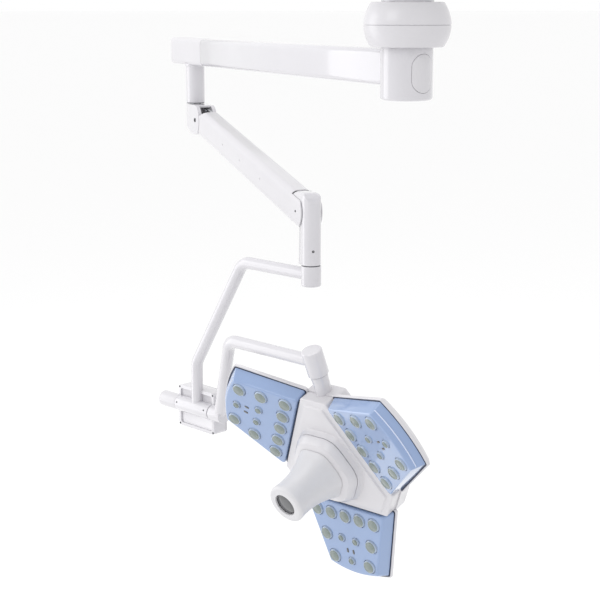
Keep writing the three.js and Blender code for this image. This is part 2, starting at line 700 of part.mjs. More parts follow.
function addHeadHousing(parent) {
  const depth = 20;
  const backing = (inset, rise, drop) => loft(
    coverOutline(BASE_W, inset + 10), BASE_W - depth + rise,
    coverOutline(BASE_W, inset - 2.5), BASE_W - drop,
  );
  const headings = Object.values(PETALS);
  const seat = LENS_Z + BASE_W;
  const split = seat - 10;
  const middle = plate(bodyOutline(-10, -2), BODY_BACK, split);
  const lobes = headings.map((heading) => onPetal(backing(0, 0, 2.5), heading));
  const pockets = headings.map((heading) => onPetal(backing(4, 3, -5), heading));
  const cavity = plate(bodyOutline(14), BODY_BACK + 4, seat + 10);
  const neckSeat = alongX(rod(24 + GAP, 129, 260));
  const rearHole = rod(60 + GAP, BODY_BACK - 10, BODY_BACK + 10, 32);
  piece('rear_housing', cut(
    join(middle, ...lobes), ...pockets, cavity, neckSeat, rearHole,
  ), WHITE, parent);
  piece('rear_service_cover', rod(60, BODY_BACK - 3, BODY_BACK + 3, 32), SHELL_WHITE, parent);
  const boardOutline = roundedRect(110, 90, 6);
  piece('driver_board', plate(boardOutline, BODY_BACK + 10, BODY_BACK + 12), BOARD, parent);

  const skirt = plate(bodyOutline(1), split + GAP, BODY_FRONT);
  const rise = turned([
    [0, BODY_FRONT - 1], [116, BODY_FRONT - 1], [RING_R[0] + 2, RING_Z[0] - GAP],
    [0, RING_Z[0] - GAP],
  ], 32);
  const hollow = plate(bodyOutline(6), seat - 6, BODY_FRONT - 4);
  const bore = rod(40, 0, 90, 32);
  const neckClear = alongX(rod(25, 120, 260));
  const cover = cut(join(skirt, rise), hollow, bore, neckClear);
  piece('front_body_cover', cover, WHITE, parent);
  piece('handle_ring', turned([
    [41, RING_Z[0]], [RING_R[0], RING_Z[0]], [RING_R[0] - 1, RING_Z[0] + 8],
    [RING_R[1] + 4, RING_Z[1] - 2], [RING_R[1], RING_Z[1]], [41, RING_Z[1]], [41, RING_Z[0]],
  ], 32), WHITE, parent);

  piece('head_neck', alongX(turned([
    [STEM_R + GAP, 130], [24, 130], [24, 150], [18, 168], [15.5, 186], [17, 200],
    [22, 210], [22, CAP_Z[0]], [STEM_R + GAP, CAP_Z[0]], [STEM_R + GAP, 130],
  ])), WHITE, parent);
  piece('neck_stem', alongX(rod(STEM_R, 131, CAP_Z[1] - 10)), STEEL, parent);
}

function addHandle(parent) {
  const root = RING_Z[1] + GAP * 2;
  piece('handle_core', turned([
    [WINDOW_R, root], [64, root], [HANDLE_TIP_R - 6, HANDLE_TIP - 10],
    [WINDOW_R, HANDLE_TIP - 10], [WINDOW_R, root],
  ]), SHELL_WHITE, parent);
  piece('camera_module', turned([
    [0, root + 20], [WINDOW_R - 2, root + 20], [WINDOW_R - 2, HANDLE_TIP - 12],
    [0, HANDLE_TIP - 12],
  ]), DARK, parent);
  piece('camera_window', rod(WINDOW_R, HANDLE_TIP - 9, HANDLE_TIP - 5, 32), DARK, parent);
}

function addHandleSleeve(parent) {
  const root = RING_Z[1] + GAP * 2;
  const wall = 3;
  piece('handle_sleeve', turned([
    [RING_R[1] - 2 - wall, root], [RING_R[1] - 2, root], [HANDLE_TIP_R, HANDLE_TIP - 8],
    [HANDLE_TIP_R - 2.5, HANDLE_TIP - 2.5], [HANDLE_TIP_R - 8, HANDLE_TIP],
    [WINDOW_R + 3, HANDLE_TIP], [WINDOW_R + 3, HANDLE_TIP - 5],
    [HANDLE_TIP_R - 4, HANDLE_TIP - 9], [RING_R[1] - 2 - wall, root],
  ], 32), WHITE, parent);
}

// ---------------------------------------------------------------- the light at rest
const light = new THREE.Group();
light.name = 'operating_light';
addCeilingColumn(light);

const mainArm = frame('main_arm', light, [0, 0, 0], [0, 0, 90]);
addHub(mainArm);
addHorizontalArm(mainArm);

const upperKnuckle = frame(
  'upper_knuckle', mainArm, [DROP_X, 0, DROP_SEAM], [0, 0, SWIVEL_REST],
);
addUpperKnuckle(upperKnuckle);

const [rootX, rootZ] = ROOT_PIVOT;
addSpringArm(frame('spring_arm', upperKnuckle, [rootX, 0, rootZ], [0, SPRING_PITCH, 0]));
addParallelLink(
  frame('parallel_link', upperKnuckle, [rootX, 0, rootZ + LINK_RISE], [0, SPRING_PITCH, 0]),
);

const frontPivot = [
  rootX + SPRING_L * Math.cos(SPRING_PITCH * deg), 0,
  rootZ - SPRING_L * Math.sin(SPRING_PITCH * deg),
];
const frontKnuckle = frame('front_knuckle', upperKnuckle, frontPivot);
addFrontKnuckle(frontKnuckle);

const suspension = frame(
  'suspension', frontKnuckle, [STEM_X, 0, KNUCKLE_SEAM], [0, 0, SUSPENSION_REST],
);
addSuspension(suspension);

const yoke = frame('yoke', suspension, [GIMBAL_X, 0, GIMBAL_Z], [YOKE_REST, 0, 0]);
addYoke(yoke);

// the head's X, Y, Z lie along the yoke's Z, X, Y
const headTurn = frame('head_turn', yoke, [0, 0, 0], [0, 0, HEAD_REST]);
const lampHead = frame('lamp_head', headTurn);
lampHead.quaternion.setFromRotationMatrix(new THREE.Matrix4().makeBasis(
  new THREE.Vector3(0, 0, 1), new THREE.Vector3(1, 0, 0), new THREE.Vector3(0, 1, 0),
));
addHeadHousing(lampHead);
Object.entries(PETALS).forEach(([letter, heading]) => addPetal(letter, heading, lampHead));
addHandle(lampHead);
addHandleSleeve(lampHead);

export default light;
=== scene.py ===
# Looks of the ceiling-mounted operating light: detailed shells, covers, tubes and optics around
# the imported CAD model. Local shapes are in millimetres and are placed by the joints' own frames.
import json
from math import cos, pi, radians, sin, sqrt, tan

import bmesh
import bpy
from mathutils import Matrix, Vector


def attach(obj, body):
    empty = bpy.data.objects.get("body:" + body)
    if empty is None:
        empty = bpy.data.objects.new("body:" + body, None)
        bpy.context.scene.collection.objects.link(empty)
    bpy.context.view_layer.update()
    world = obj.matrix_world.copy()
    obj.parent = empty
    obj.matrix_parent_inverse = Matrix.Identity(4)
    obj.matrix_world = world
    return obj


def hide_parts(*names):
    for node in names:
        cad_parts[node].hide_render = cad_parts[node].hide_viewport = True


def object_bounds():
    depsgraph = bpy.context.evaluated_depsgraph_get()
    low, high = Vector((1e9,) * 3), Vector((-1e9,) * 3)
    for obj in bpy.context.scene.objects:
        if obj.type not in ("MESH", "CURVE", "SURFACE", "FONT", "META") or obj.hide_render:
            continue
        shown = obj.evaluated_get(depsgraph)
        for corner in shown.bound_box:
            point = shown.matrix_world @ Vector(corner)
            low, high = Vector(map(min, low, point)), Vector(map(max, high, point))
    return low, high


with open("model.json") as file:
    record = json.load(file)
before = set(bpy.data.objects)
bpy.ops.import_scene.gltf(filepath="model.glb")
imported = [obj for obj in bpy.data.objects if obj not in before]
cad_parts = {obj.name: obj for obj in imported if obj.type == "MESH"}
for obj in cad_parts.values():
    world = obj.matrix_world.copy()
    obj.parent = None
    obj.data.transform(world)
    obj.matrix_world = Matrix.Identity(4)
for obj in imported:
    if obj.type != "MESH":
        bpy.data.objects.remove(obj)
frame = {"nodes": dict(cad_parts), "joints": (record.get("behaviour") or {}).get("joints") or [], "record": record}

CAD_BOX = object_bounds()
MM = 0.001
GAP = 0.3
WIDE_SIDES, ROUND_SIDES, LENS_SIDES = 128, 96, 48

# ------------------------------------------------------------------ driving dimensions, mm
PLATE_R, PLATE_T = 115, 12
BOLT_CIRCLE_R, BOLT_HOLE_R, BOLT_COUNT = 92, 5.5, 6
CABLE_HOLE_Y, CABLE_HOLE_R = -36, 12
COLUMN_R, COLUMN_WALL = 57, 6
CANOPY_TOP, CANOPY_MID, CANOPY_BOTTOM = -112, -161, -207
CANOPY_R, CANOPY_RIM_R = 94.5, 78.5
HUB_BOTTOM, HUB_TOP = -320, CANOPY_BOTTOM + 1 - 2 * GAP
COVER_TURN, ACCESS_HALF, ACCESS_H, ACCESS_RISE = 191, 27, 82, 58
ARM_Z, ARM_W, ARM_H, ARM_CORNER = -252, 60, 78, 12
ARM_SEAM, ARM_TIP = 1198, 1460
DROP_X, DROP_R, DROP_SEAM = 1322, 27.75, -405
SEAM_GAP, SEAM_RISE, SEAM_SINK = 1.6, 3, 0.2  # an open joint line with a dark disc of painted shade in it
ROOT_X, ROOT_Z = 98, -44.5
KNUCKLE_R = 43
SPRING_L, SHELL_W, SHELL_H, SHELL_WALL, SLOT_HALF = 944, 54, 80, 3, 17.5
LINK_Y0, LINK_Y1, LINK_SLIT = 5, 13, 1.5
STEM_X, NECK_R, KNUCKLE_TOP, KNUCKLE_SEAM = 36.5, 23, 47, -125
COLLAR_R, COLLAR_H = 24, 50
TUBE_R, BEND_R, RUN_Z = 15.5, 45, -23
GIMBAL_Z = -437
BLOCK_R, BLOCK_X0, BLOCK_X1, BLOCK_CAP_X = 21, 363, 495, 563
YOKE_HUB_X0, YOKE_HUB_X1 = 427, 472
YOKE_LEG_X, YOKE_LEG_SLOPE, YOKE_RUN_Z = 444, 0.588, 258
CAP_R, CAP_LOW, CAP_HIGH = 25, 225, 290
LENS_Z, PETAL_RHO, PETAL_TILT = 47, 153, 10
PETALS = {"a": 60, "b": -60, "c": 180}
PETAL_INNER, PETAL_INNER_HALF, PETAL_OUTER_HALF, PETAL_BULGE = -34, 136, 87, 13
FACE_W, BASE_W, FACE_ARC, BASE_ARC, COVER_WALL = 7, -25, 311, 325, 3
# the cover stands inside the rear shell's rim by COVER_IN, with the seal between
COVER_IN, SEAL_W, SEAL_T = 2.8, 2.4, 2.2
LENS_PITCH, LENS_BIG, LENS_SMALL = 45, 17.5, 10.5
BODY_LONG, BODY_SHORT, BODY_BACK, BODY_FRONT = 119, 176, -32, 50
BODY_SPLIT = LENS_Z + BASE_W - 10
RING_LOW, RING_HIGH, RING_TOP_R = 64, 87, 67
HANDLE_TIP, HANDLE_TIP_R, WINDOW_R = 214, 48, 25
GRIP_R, GRIP_WAIST, GRIP_STEPS = 64, 32, 16
FLOOR_Z, FLOOR_SPAN = -2.35, 900  # metres
FLOOR_SHADE = 0.97

# camera: place, heading from +Y towards +X, downward pitch and focal length
CAMERA_AT = (-1.472, -2.692, -0.125)
CAMERA_HEADING, CAMERA_PITCH, CAMERA_LENS = 24.37, 11.78, 84


# ------------------------------------------------------------------ local frames
JOINTS = {joint["name"]: joint for joint in frame["joints"]}


def joint_at(name):
    return Vector(JOINTS[name]["pos_m"])


def joint_axis(name):
    return Vector(JOINTS[name]["axis"]).normalized()


def placed(origin, x_axis, z_axis=(0, 0, 1)):
    """Matrix from a local frame in millimetres to the row frame in metres."""
    x = Vector(x_axis).normalized()
    z = Vector(z_axis)
    z = (z - x * x.dot(z)).normalized()
    turn = Matrix((x, z.cross(x), z)).transposed().to_4x4()
    return Matrix.Translation(origin) @ turn @ Matrix.Scale(MM, 4)


SPRING_WAY = joint_at("front_knuckle_level") - joint_at("spring_arm_pitch")
SPRING_HEADING = Vector((SPRING_WAY.x, SPRING_WAY.y, 0))
ROOT = placed((0, 0, 0), (1, 0, 0))
ARM = placed((0, 0, 0), (0, 1, 0))
KNUCKLE = placed(joint_at("arm_swivel"), SPRING_HEADING)
SPRING = placed(joint_at("spring_arm_pitch"), SPRING_WAY)
FRONT = placed(joint_at("front_knuckle_level"), SPRING_HEADING)
SUSPENSION = placed(joint_at("suspension_swivel"), joint_axis("yoke_tilt"))
YOKE = placed(joint_at("yoke_tilt"), joint_axis("yoke_tilt"), joint_axis("head_turn"))
HEAD = placed(joint_at("head_turn"), joint_axis("head_turn"), joint_axis("handle_twist"))


def turned_to(axis, place=(0, 0, 0)):
    """A local matrix whose Z runs along the named axis."""
    turns = {"X": Matrix.Rotation(pi / 2, 4, "Y"), "Y": Matrix.Rotation(-pi / 2, 4, "X")}
    return Matrix.Translation(place) @ turns.get(axis, Matrix.Identity(4))


ALONG_X = Matrix.Rotation(pi / 2, 4, "Y") @ Matrix.Rotation(pi / 2, 4, "Z")


def on_petal(heading):
    lean = Matrix.Rotation(radians(-PETAL_TILT), 4, "Y")
    outward = Matrix.Translation((PETAL_RHO, 0, LENS_Z))
    return HEAD @ Matrix.Rotation(radians(heading), 4, "Z") @ outward @ lean


# ------------------------------------------------------------------ materials
MOTTLE_SPREAD, MOTTLE_SCALE, ROUGH_SCALE, RELIEF_DEPTH = 0.012, 9, 14, 0.0004


def principled(name, **sockets):
    material = bpy.data.materials.new(name)
    material.use_nodes = True
    shader = material.node_tree.nodes["Principled BSDF"]
    for socket, value in sockets.items():
        shader.inputs[socket.replace("_", " ")].default_value = value
    return material, material.node_tree, shader


def mottle(tree, shader, color, spread, scale):
    """Faint variation of the base colour."""
    noise = tree.nodes.new("ShaderNodeTexNoise")
    noise.inputs["Scale"].default_value = scale
    noise.inputs["Detail"].default_value = 4
    ramp = tree.nodes.new("ShaderNodeValToRGB")
    ramp.color_ramp.elements[0].position = 0.3
    ramp.color_ramp.elements[1].position = 0.7
    ramp.color_ramp.elements[0].color = (*[c * (1 - spread) for c in color], 1)
    ramp.color_ramp.elements[1].color = (*[min(1, c * (1 + spread)) for c in color], 1)
    place = tree.nodes.new("ShaderNodeTexCoord")
    tree.links.new(place.outputs["Object"], noise.inputs["Vector"])
    tree.links.new(noise.outputs["Fac"], ramp.inputs["Fac"])
    tree.links.new(ramp.outputs["Color"], shader.inputs["Base Color"])
    return place


def vary_roughness(tree, shader, place, low, high, scale):
    noise = tree.nodes.new("ShaderNodeTexNoise")
    noise.inputs["Scale"].default_value = scale
    spread = tree.nodes.new("ShaderNodeMapRange")
    spread.inputs["To Min"].default_value = low
    spread.inputs["To Max"].default_value = high
    tree.links.new(place.outputs["Object"], noise.inputs["Vector"])
    tree.links.new(noise.outputs["Fac"], spread.inputs["Value"])
    tree.links.new(spread.outputs["Result"], shader.inputs["Roughness"])


def relief(tree, shader, place, scale, strength, distance, stretch=(1, 1, 1)):
    """Surface texture as bump: orange peel, moulding grain or a brushed lay."""
    lay = tree.nodes.new("ShaderNodeMapping")
    lay.inputs["Scale"].default_value = stretch
    noise = tree.nodes.new("ShaderNodeTexNoise")
    noise.inputs["Scale"].default_value = scale
    bump = tree.nodes.new("ShaderNodeBump")
    bump.inputs["Strength"].default_value = strength
    bump.inputs["Distance"].default_value = distance
    tree.links.new(place.outputs["Object"], lay.inputs["Vector"])
    tree.links.new(lay.outputs["Vector"], noise.inputs["Vector"])
    tree.links.new(noise.outputs["Fac"], bump.inputs["Height"])
    tree.links.new(bump.outputs["Normal"], shader.inputs["Normal"])


def finish_material(name, color, rough, grain, bump, stretch=(1, 1, 1), **sockets):
    """Rough is the lowest and highest roughness, grain the bump's scale and bump its strength."""
    material, tree, shader = principled(name, **sockets)
    place = mottle(tree, shader, color, MOTTLE_SPREAD, MOTTLE_SCALE)
    vary_roughness(tree, shader, place, *rough, ROUGH_SCALE)
    relief(tree, shader, place, grain, bump, RELIEF_DEPTH, stretch)
    return material


PAINT = finish_material("powder_coat", (0.60, 0.59, 0.62), rough=(0.18, 0.26), grain=420, bump=0.05,
                        Coat_Weight=0.8, Coat_Roughness=0.06)
PLASTIC = finish_material("moulded_white", (0.61, 0.60, 0.625), rough=(0.26, 0.36), grain=900, bump=0.07,
                          Coat_Weight=0.3, Coat_Roughness=0.16)
SLEEVE = finish_material("sleeve_white", (0.62, 0.615, 0.635), rough=(0.34, 0.44), grain=1100, bump=0.10)
BLUE = finish_material("blue_cover_plastic", (0.24, 0.335, 0.545), rough=(0.10, 0.16), grain=160, bump=0.02,
                       Coat_Weight=1.0, Coat_Roughness=0.03, IOR=1.49)
RUBBER = finish_material("dark_seal", (0.022, 0.03, 0.065), rough=(0.45, 0.60), grain=1400, bump=0.15)
STEEL = finish_material("turned_steel", (0.52, 0.53, 0.55), rough=(0.20, 0.32), grain=300, bump=0.10,
                        stretch=(1, 1, 14), Metallic=1.0)
BRASS = finish_material("machined_brass", (0.60, 0.44, 0.17), rough=(0.22, 0.34), grain=300, bump=0.10,
                        Metallic=1.0)
BOARD = finish_material("solder_mask", (0.62, 0.69, 0.86), rough=(0.40, 0.52), grain=700, bump=0.08)
OPTIC = finish_material("lens_optic", (0.165, 0.205, 0.19), rough=(0.05, 0.09), grain=260, bump=0.02,
                        Coat_Weight=1.0, Coat_Roughness=0.02)
CUP = finish_material("lens_moulding", (0.34, 0.42, 0.55), rough=(0.10, 0.16), grain=240, bump=0.03,
                      Coat_Weight=1.0, Coat_Roughness=0.03)
DARK_GLASS = finish_material("smoked_window", (0.035, 0.037, 0.042), rough=(0.05, 0.09), grain=260, bump=0.02,
                             Coat_Weight=1.0, Coat_Roughness=0.02)
BLACK_STEEL = finish_material("black_oxide_steel", (0.045, 0.047, 0.052), rough=(0.30, 0.42),
                              grain=300, bump=0.10, Metallic=0.6)
# painted shade: near-black material put inside open joint lines, where the real gaps are only in shade
SEAM_SHADE = finish_material("seam_shadow", (0.10, 0.10, 0.12), rough=(0.60, 0.75), grain=800, bump=0.10)


# ------------------------------------------------------------------ mesh tools
def make(name, vertices, faces, matrix):
    mesh = bpy.data.meshes.new(name)
    mesh.from_pydata([matrix @ Vector(v) for v in vertices], [], faces)
    bm = bmesh.new()
    bm.from_mesh(mesh)
    bmesh.ops.remove_doubles(bm, verts=bm.verts, dist=1e-7)
    bmesh.ops.recalc_face_normals(bm, faces=bm.faces)
    bm.to_mesh(mesh)
    bm.free()
    thing = bpy.data.objects.new(name, mesh)
    bpy.context.scene.collection.objects.link(thing)
    return thing


def flatten(thing):
    """Replaces the mesh by the result of its modifiers."""
    bpy.context.view_layer.update()
    graph = bpy.context.evaluated_depsgraph_get()
    result = bpy.data.meshes.new_from_object(thing.evaluated_get(graph))
    thing.modifiers.clear()
    thing.data = result
    return thing


def combine(thing, other, operation):
    modifier = thing.modifiers.new(operation, "BOOLEAN")
    modifier.operation, modifier.object, modifier.solver = operation, other, "EXACT"
    flatten(thing)
    bpy.data.objects.remove(other)
    return thing


def minus(thing, *cutters):
    for cutter in cutters:
        combine(thing, cutter, "DIFFERENCE")
    return thing


def plus(thing, *others):
    for other in others:
        combine(thing, other, "UNION")
    return thing


def both(thing, other):
    return combine(thing, other, "INTERSECT")


def merged(name, things):
    """Separate solids as one object."""
    bm = bmesh.new()
    for thing in things:
        bm.from_mesh(thing.data)
        bpy.data.objects.remove(thing)
    mesh = bpy.data.meshes.new(name)
    bm.to_mesh(mesh)
    bm.free()
    thing = bpy.data.objects.new(name, mesh)
    bpy.context.scene.collection.objects.link(thing)
    return thing


def bevel(thing, width, segments=3, angle=32):
    modifier = thing.modifiers.new("edges", "BEVEL")
    modifier.width, modifier.segments = width * MM, segments
    modifier.limit_method, modifier.angle_limit = "ANGLE", radians(angle)
    modifier.use_clamp_overlap = True
    modifier.harden_normals = False
    return flatten(thing)


def show(thing, body, material, slot, *nodes, smooth=32):
    """Finishes a piece: shading, material, body and the CAD nodes that it stands for. The slot argument is not
    used.
    """
    thing.data.materials.clear()
    thing.data.materials.append(material)
    for polygon in thing.data.polygons:
        polygon.use_smooth = True
        polygon.material_index = 0
    thing.data.set_sharp_from_angle(angle=radians(smooth))
    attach(thing, body)
    if nodes:
        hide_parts(*nodes)
    return thing


# outlines
def arc(x, y, radius, start, end, steps=12):
    turns = [radians(start + (end - start) * i / steps) for i in range(steps + 1)]
    return [(x + radius * cos(t), y + radius * sin(t)) for t in turns]


def rounded_rect(width, height, radius, steps=10):
    x, y = width / 2 - radius, height / 2 - radius
    corners = [(x, y, 0), (-x, y, 90), (-x, -y, 180), (x, -y, 270)]
    return [p for cx, cy, a in corners for p in arc(cx, cy, radius, a, a + 90, steps)]


def capsule(x0, x1, radius, steps=28):
    return arc(x1, 0, radius, -90, 90, steps) + arc(x0, 0, radius, 90, 270, steps)


def rounded(points, radii):
    """A closed outline with each corner rounded by its radius."""
    out = []
    count, steps, nearly_straight = len(points), 6, 1.55
    for i, (point, radius) in enumerate(zip(points, radii)):
        here = Vector(point)
        before = (Vector(points[i - 1]) - here).normalized()
        after = (Vector(points[(i + 1) % count]) - here).normalized()
        half = before.angle(after, pi) / 2
        if radius <= 0 or half > nearly_straight:
            out.append(tuple(here))
            continue
        reach = radius / tan(half)
        centre = here + (before + after).normalized() * radius / sin(half)
        first = (here + before * reach) - centre
        last = (here + after * reach) - centre
        for k in range(steps + 1):
            ray = first.slerp(last, k / steps)
            out.append(tuple(centre + ray.normalized() * radius))
    return out


# solids
def stack(name, levels, matrix, ring=False):
    """Skin over (outline, height) levels with equal point counts; a ring closes on itself."""
    count = len(levels[0][0])
    vertices = [(x, y, z) for outline, z in levels for x, y in outline]
    faces = []
    last = len(levels) if ring else len(levels) - 1
    for k in range(last):
        low, high = k * count, (k + 1) % len(levels) * count
        for i in range(count):
            j = (i + 1) % count
            faces.append((low + i, low + j, high + j, high + i))
    if not ring:
        top = (len(levels) - 1) * count
        faces += [tuple(range(count))[::-1], tuple(range(top, top + count))]
    return make(name, vertices, faces, matrix)


def ring_of(count, radius, start=0.0):
    """Equally spaced places on a circle."""
    turns = [start + 2 * pi * i / count for i in range(count)]
    return [(radius * cos(t), radius * sin(t)) for t in turns]


def prism(name, outline, z0, z1, matrix):
    return stack(name, [(outline, z0), (outline, z1)], matrix)


def slab(name, outline, y0, y1, matrix):
    """The outline's x, y become X, Z and the depth runs along Y."""
    return prism(name, outline, -y1, -y0, matrix @ Matrix.Rotation(pi / 2, 4, "X"))


def beam(name, outline, x0, x1, matrix):
    """The outline's x, y become Y, Z and the depth runs along X."""
    return prism(name, outline, x0, x1, matrix @ ALONG_X)


def lathe(name, profile, matrix, sides=ROUND_SIDES):
    """Closed profile of (radius, height) about Z."""
    rings, vertices = [], []
    for radius, z in profile:
        if radius < 1e-6:
            rings.append([len(vertices)] * sides)
            vertices.append((0, 0, z))
        else:
            start = len(vertices)
            rings.append([start + i for i in range(sides)])
            turns = [2 * pi * i / sides for i in range(sides)]
            vertices += [(radius * cos(t), radius * sin(t), z) for t in turns]
    faces = []
    for a, b in zip(rings, rings[1:] + rings[:1]):
        for i in range(sides):
            j = (i + 1) % sides
            corners = list(dict.fromkeys((a[i], a[j], b[j], b[i])))
            if len(corners) > 2:
                faces.append(tuple(corners))
    return make(name, vertices, faces, matrix)


def rod(name, radius, z0, z1, matrix, edge=0, sides=64):
    corners = [(0, z0), (radius, z0), (radius, z1), (0, z1)]
    return lathe(name, rounded(corners, [0, edge, edge, 0]), matrix, sides)


def sweep(name, corners, radius, matrix, sides=48, steps=20):
    """Round tube through points in the X-Z plane, with true arcs in its bends."""
    points = [Vector((x, 0, z)) for x, z in corners]
    path = [points[0]]
    for before, here, after in zip(points, points[1:], points[2:]):
        back, ahead = (before - here).normalized(), (after - here).normalized()
        half = back.angle(ahead) / 2
        centre = here + (back + ahead).normalized() * BEND_R / sin(half)
        first = here + back * BEND_R / tan(half) - centre
        last = here + ahead * BEND_R / tan(half) - centre
        path += [centre + first.slerp(last, k / steps).normalized() * BEND_R
                 for k in range(steps + 1)]
    path.append(points[-1])
    vertices, faces = [], []
    for i, point in enumerate(path):
        way = (path[min(i + 1, len(path) - 1)] - path[max(i - 1, 0)]).normalized()
        across = Vector((0, 1, 0))
        up = way.cross(across)
        for k in range(sides):
            t = 2 * pi * k / sides
            vertices.append(point + across * radius * cos(t) + up * radius * sin(t))
    for i in range(len(path) - 1):
        for k in range(sides):
            n = (k + 1) % sides
            faces.append((i * sides + k, i * sides + n, (i + 1) * sides + n, (i + 1) * sides + k))
    faces.append(tuple(range(sides)))
    faces.append(tuple(range((len(path) - 1) * sides, len(path) * sides)))
    return make(name, vertices, faces, matrix)


def screw(name, matrix, radius):
    """Button head with a hexagonal socket, standing on the local X-Y plane."""
    edge, crown, key, floor, sunk = 0.25, 0.6, 0.45, 0.15, 0.5
    dome = [(0, -sunk), (radius, -sunk), (radius, radius * edge)]
    dome += [(radius * cos(t), radius * (edge + (crown - edge) * sin(t))) for t in (0.4, 0.8, 1.2)]
    head = lathe(name, dome + [(0, radius * crown)], matrix, 32)
    return minus(head, prism("socket", ring_of(6, radius * key), radius * floor, radius, matrix))


def screws(name, places, radius, body):
    """One group of equal screws."""
    heads = [screw(f"{name}_{i}", matrix, radius) for i, matrix in enumerate(places)]
    return show(merged(name, heads), body, BLACK_STEEL, "steel")


def towards_camera(place, joint, turn=0.0):
    """The level direction from a joint to the camera, in a local frame, turned by some degrees."""
    ray = place.to_3x3().inverted() @ (Vector(CAMERA_AT) - joint_at(joint))
    return (Matrix.Rotation(radians(turn), 3, "Z") @ Vector((ray.x, ray.y, 0))).normalized()


def side_screw(name, place, way, reach, height, radius, body):
    """One screw in the side of a round post, facing a level direction."""
    point, turn = way * reach, way.to_track_quat("Z", "Y").to_matrix().to_4x4()
    spot = place @ Matrix.Translation((point.x, point.y, height)) @ turn
    return screws(name, [spot], radius, body)


def seam_shade_disc(name, radius, z, place, body):
    """Dark disc of painted shade that fills the open line between two round pieces."""
    return show(rod(name, radius, z - SEAM_SINK, z + SEAM_RISE, place), body, SEAM_SHADE, "gasket")


# ------------------------------------------------------------------ ceiling column
def ceiling_column():
    disc = rod("plate_disc", PLATE_R, -PLATE_T, 0, ROOT, edge=1.5, sides=WIDE_SIDES)
    spots = ring_of(BOLT_COUNT, BOLT_CIRCLE_R)
    below, above = -20, 5
    holes = [(x, y, BOLT_HOLE_R) for x, y in spots] + [(0, CABLE_HOLE_Y, CABLE_HOLE_R)]
    cutters = [rod("hole", radius, below, above, ROOT @ Matrix.Translation((x, y, 0)))
               for x, y, radius in holes]
    show(minus(disc, *cutters), "root", STEEL, "steel", "ceiling_plate")

    washer_r, washer_t, head_r, head_t, play = 11, 2, 9, 6.4, 0.1
    heads = []
    for x, y in spots:
        spot = ROOT @ Matrix.Translation((x, y, -PLATE_T))
        top = -washer_t - play
        heads.append(rod("washer", washer_r, -washer_t, -play, spot, edge=0.4, sides=40))
        heads.append(bevel(prism("head", ring_of(6, head_r), top - head_t, top, spot), 0.6))
    show(merged("ceiling_bolts", heads), "root", STEEL, "steel")

    inner, top, bottom = COLUMN_R - COLUMN_WALL, -PLATE_T - GAP, CANOPY_BOTTOM + 1
    wall = [(inner, top), (inner, bottom), (COLUMN_R, bottom), (COLUMN_R, top)]
    show(lathe("column_tube", rounded(wall, [0.5, 0.5, 0.8, 0.8]), ROOT), "root", PAINT,
         "white_paint", "ceiling_tube")
    show(canopy(), "root", PLASTIC, "white_plastic", "canopy", smooth=24)


def canopy():
    """Bulged cover ring with a fine parting line round its widest place."""
    steps, groove, groove_depth = 32, 0.9, 1.6
    bore_edge, rim_edge = 1, 4
    swell = 2 * CANOPY_R - CANOPY_RIM_R
    outer = []
    for i in range(steps + 1):
        t = i / steps
        radius = CANOPY_RIM_R * ((1 - t) ** 2 + t * t) + 2 * swell * t * (1 - t)
        z = CANOPY_BOTTOM * (1 - t) ** 2 + 2 * CANOPY_MID * t * (1 - t) + CANOPY_TOP * t * t
        outer.append((radius, z))
    middle = steps // 2
    widest, height = outer[middle]
    low, high, deep = height - groove, height + groove, widest - groove_depth
    outer[middle:middle + 1] = [(widest, low), (deep, low), (deep, high), (widest, high)]
    bore = COLUMN_R + 1
    profile = [(bore, CANOPY_BOTTOM), *outer, (bore, CANOPY_TOP)]
    radii = [bore_edge, rim_edge] + [0] * (len(outer) - 2) + [rim_edge, bore_edge]
    return lathe("canopy_ring", rounded(profile, radii), ROOT, WIDE_SIDES)


# ------------------------------------------------------------------ horizontal arm
def access_outline(grow):
    """A bar with the access cover's obround section, running out through the hub's side."""
    half, height = ACCESS_HALF + grow, ACCESS_H + 2 * grow
    reach = height / 2 - half
    middle = Matrix.Translation((0, 0, HUB_BOTTOM + ACCESS_RISE))
    turn = Matrix.Rotation(radians(COVER_TURN), 4, "Z")
    upright = Matrix.Rotation(pi / 2, 4, "X")
    start, end = 30, 80
    return beam("access", capsule(-reach, reach, half), start, end, ARM @ turn @ middle @ upright)


def hub_patch(name, depth, proud, rise, grow):
    """A piece of the hub's skin, as wide as the access cover's outline."""
    inner, outer, low = COLUMN_R - depth, COLUMN_R + proud, HUB_BOTTOM + rise
    wall = [(inner, low), (outer, low), (outer, HUB_TOP), (inner, HUB_TOP)]
    return both(lathe(name, wall, ARM, WIDE_SIDES), access_outline(grow))


def hub():
    profile = [(0, HUB_BOTTOM), (COLUMN_R, HUB_BOTTOM), (COLUMN_R, HUB_TOP), (0, HUB_TOP)]
    housing = lathe("hub_shell", rounded(profile, [0, 7, 1, 0]), ARM, WIDE_SIDES)
    recess = hub_patch("recess", depth=3, proud=5, rise=4, grow=0.9)
    show(minus(housing, recess), "main_arm", PAINT, "white_paint", "hub_housing")
    cover = hub_patch("hub_cover", depth=2.7, proud=0.6, rise=3, grow=0)
    show(bevel(cover, 0.5, segments=2, angle=50), "main_arm", PLASTIC, "white_plastic",
         "hub_access_cover")


def arm_section(inset):
    corner = max(ARM_CORNER - inset, 1.5)
    return rounded_rect(ARM_W - 2 * inset, ARM_H - 2 * inset, corner)


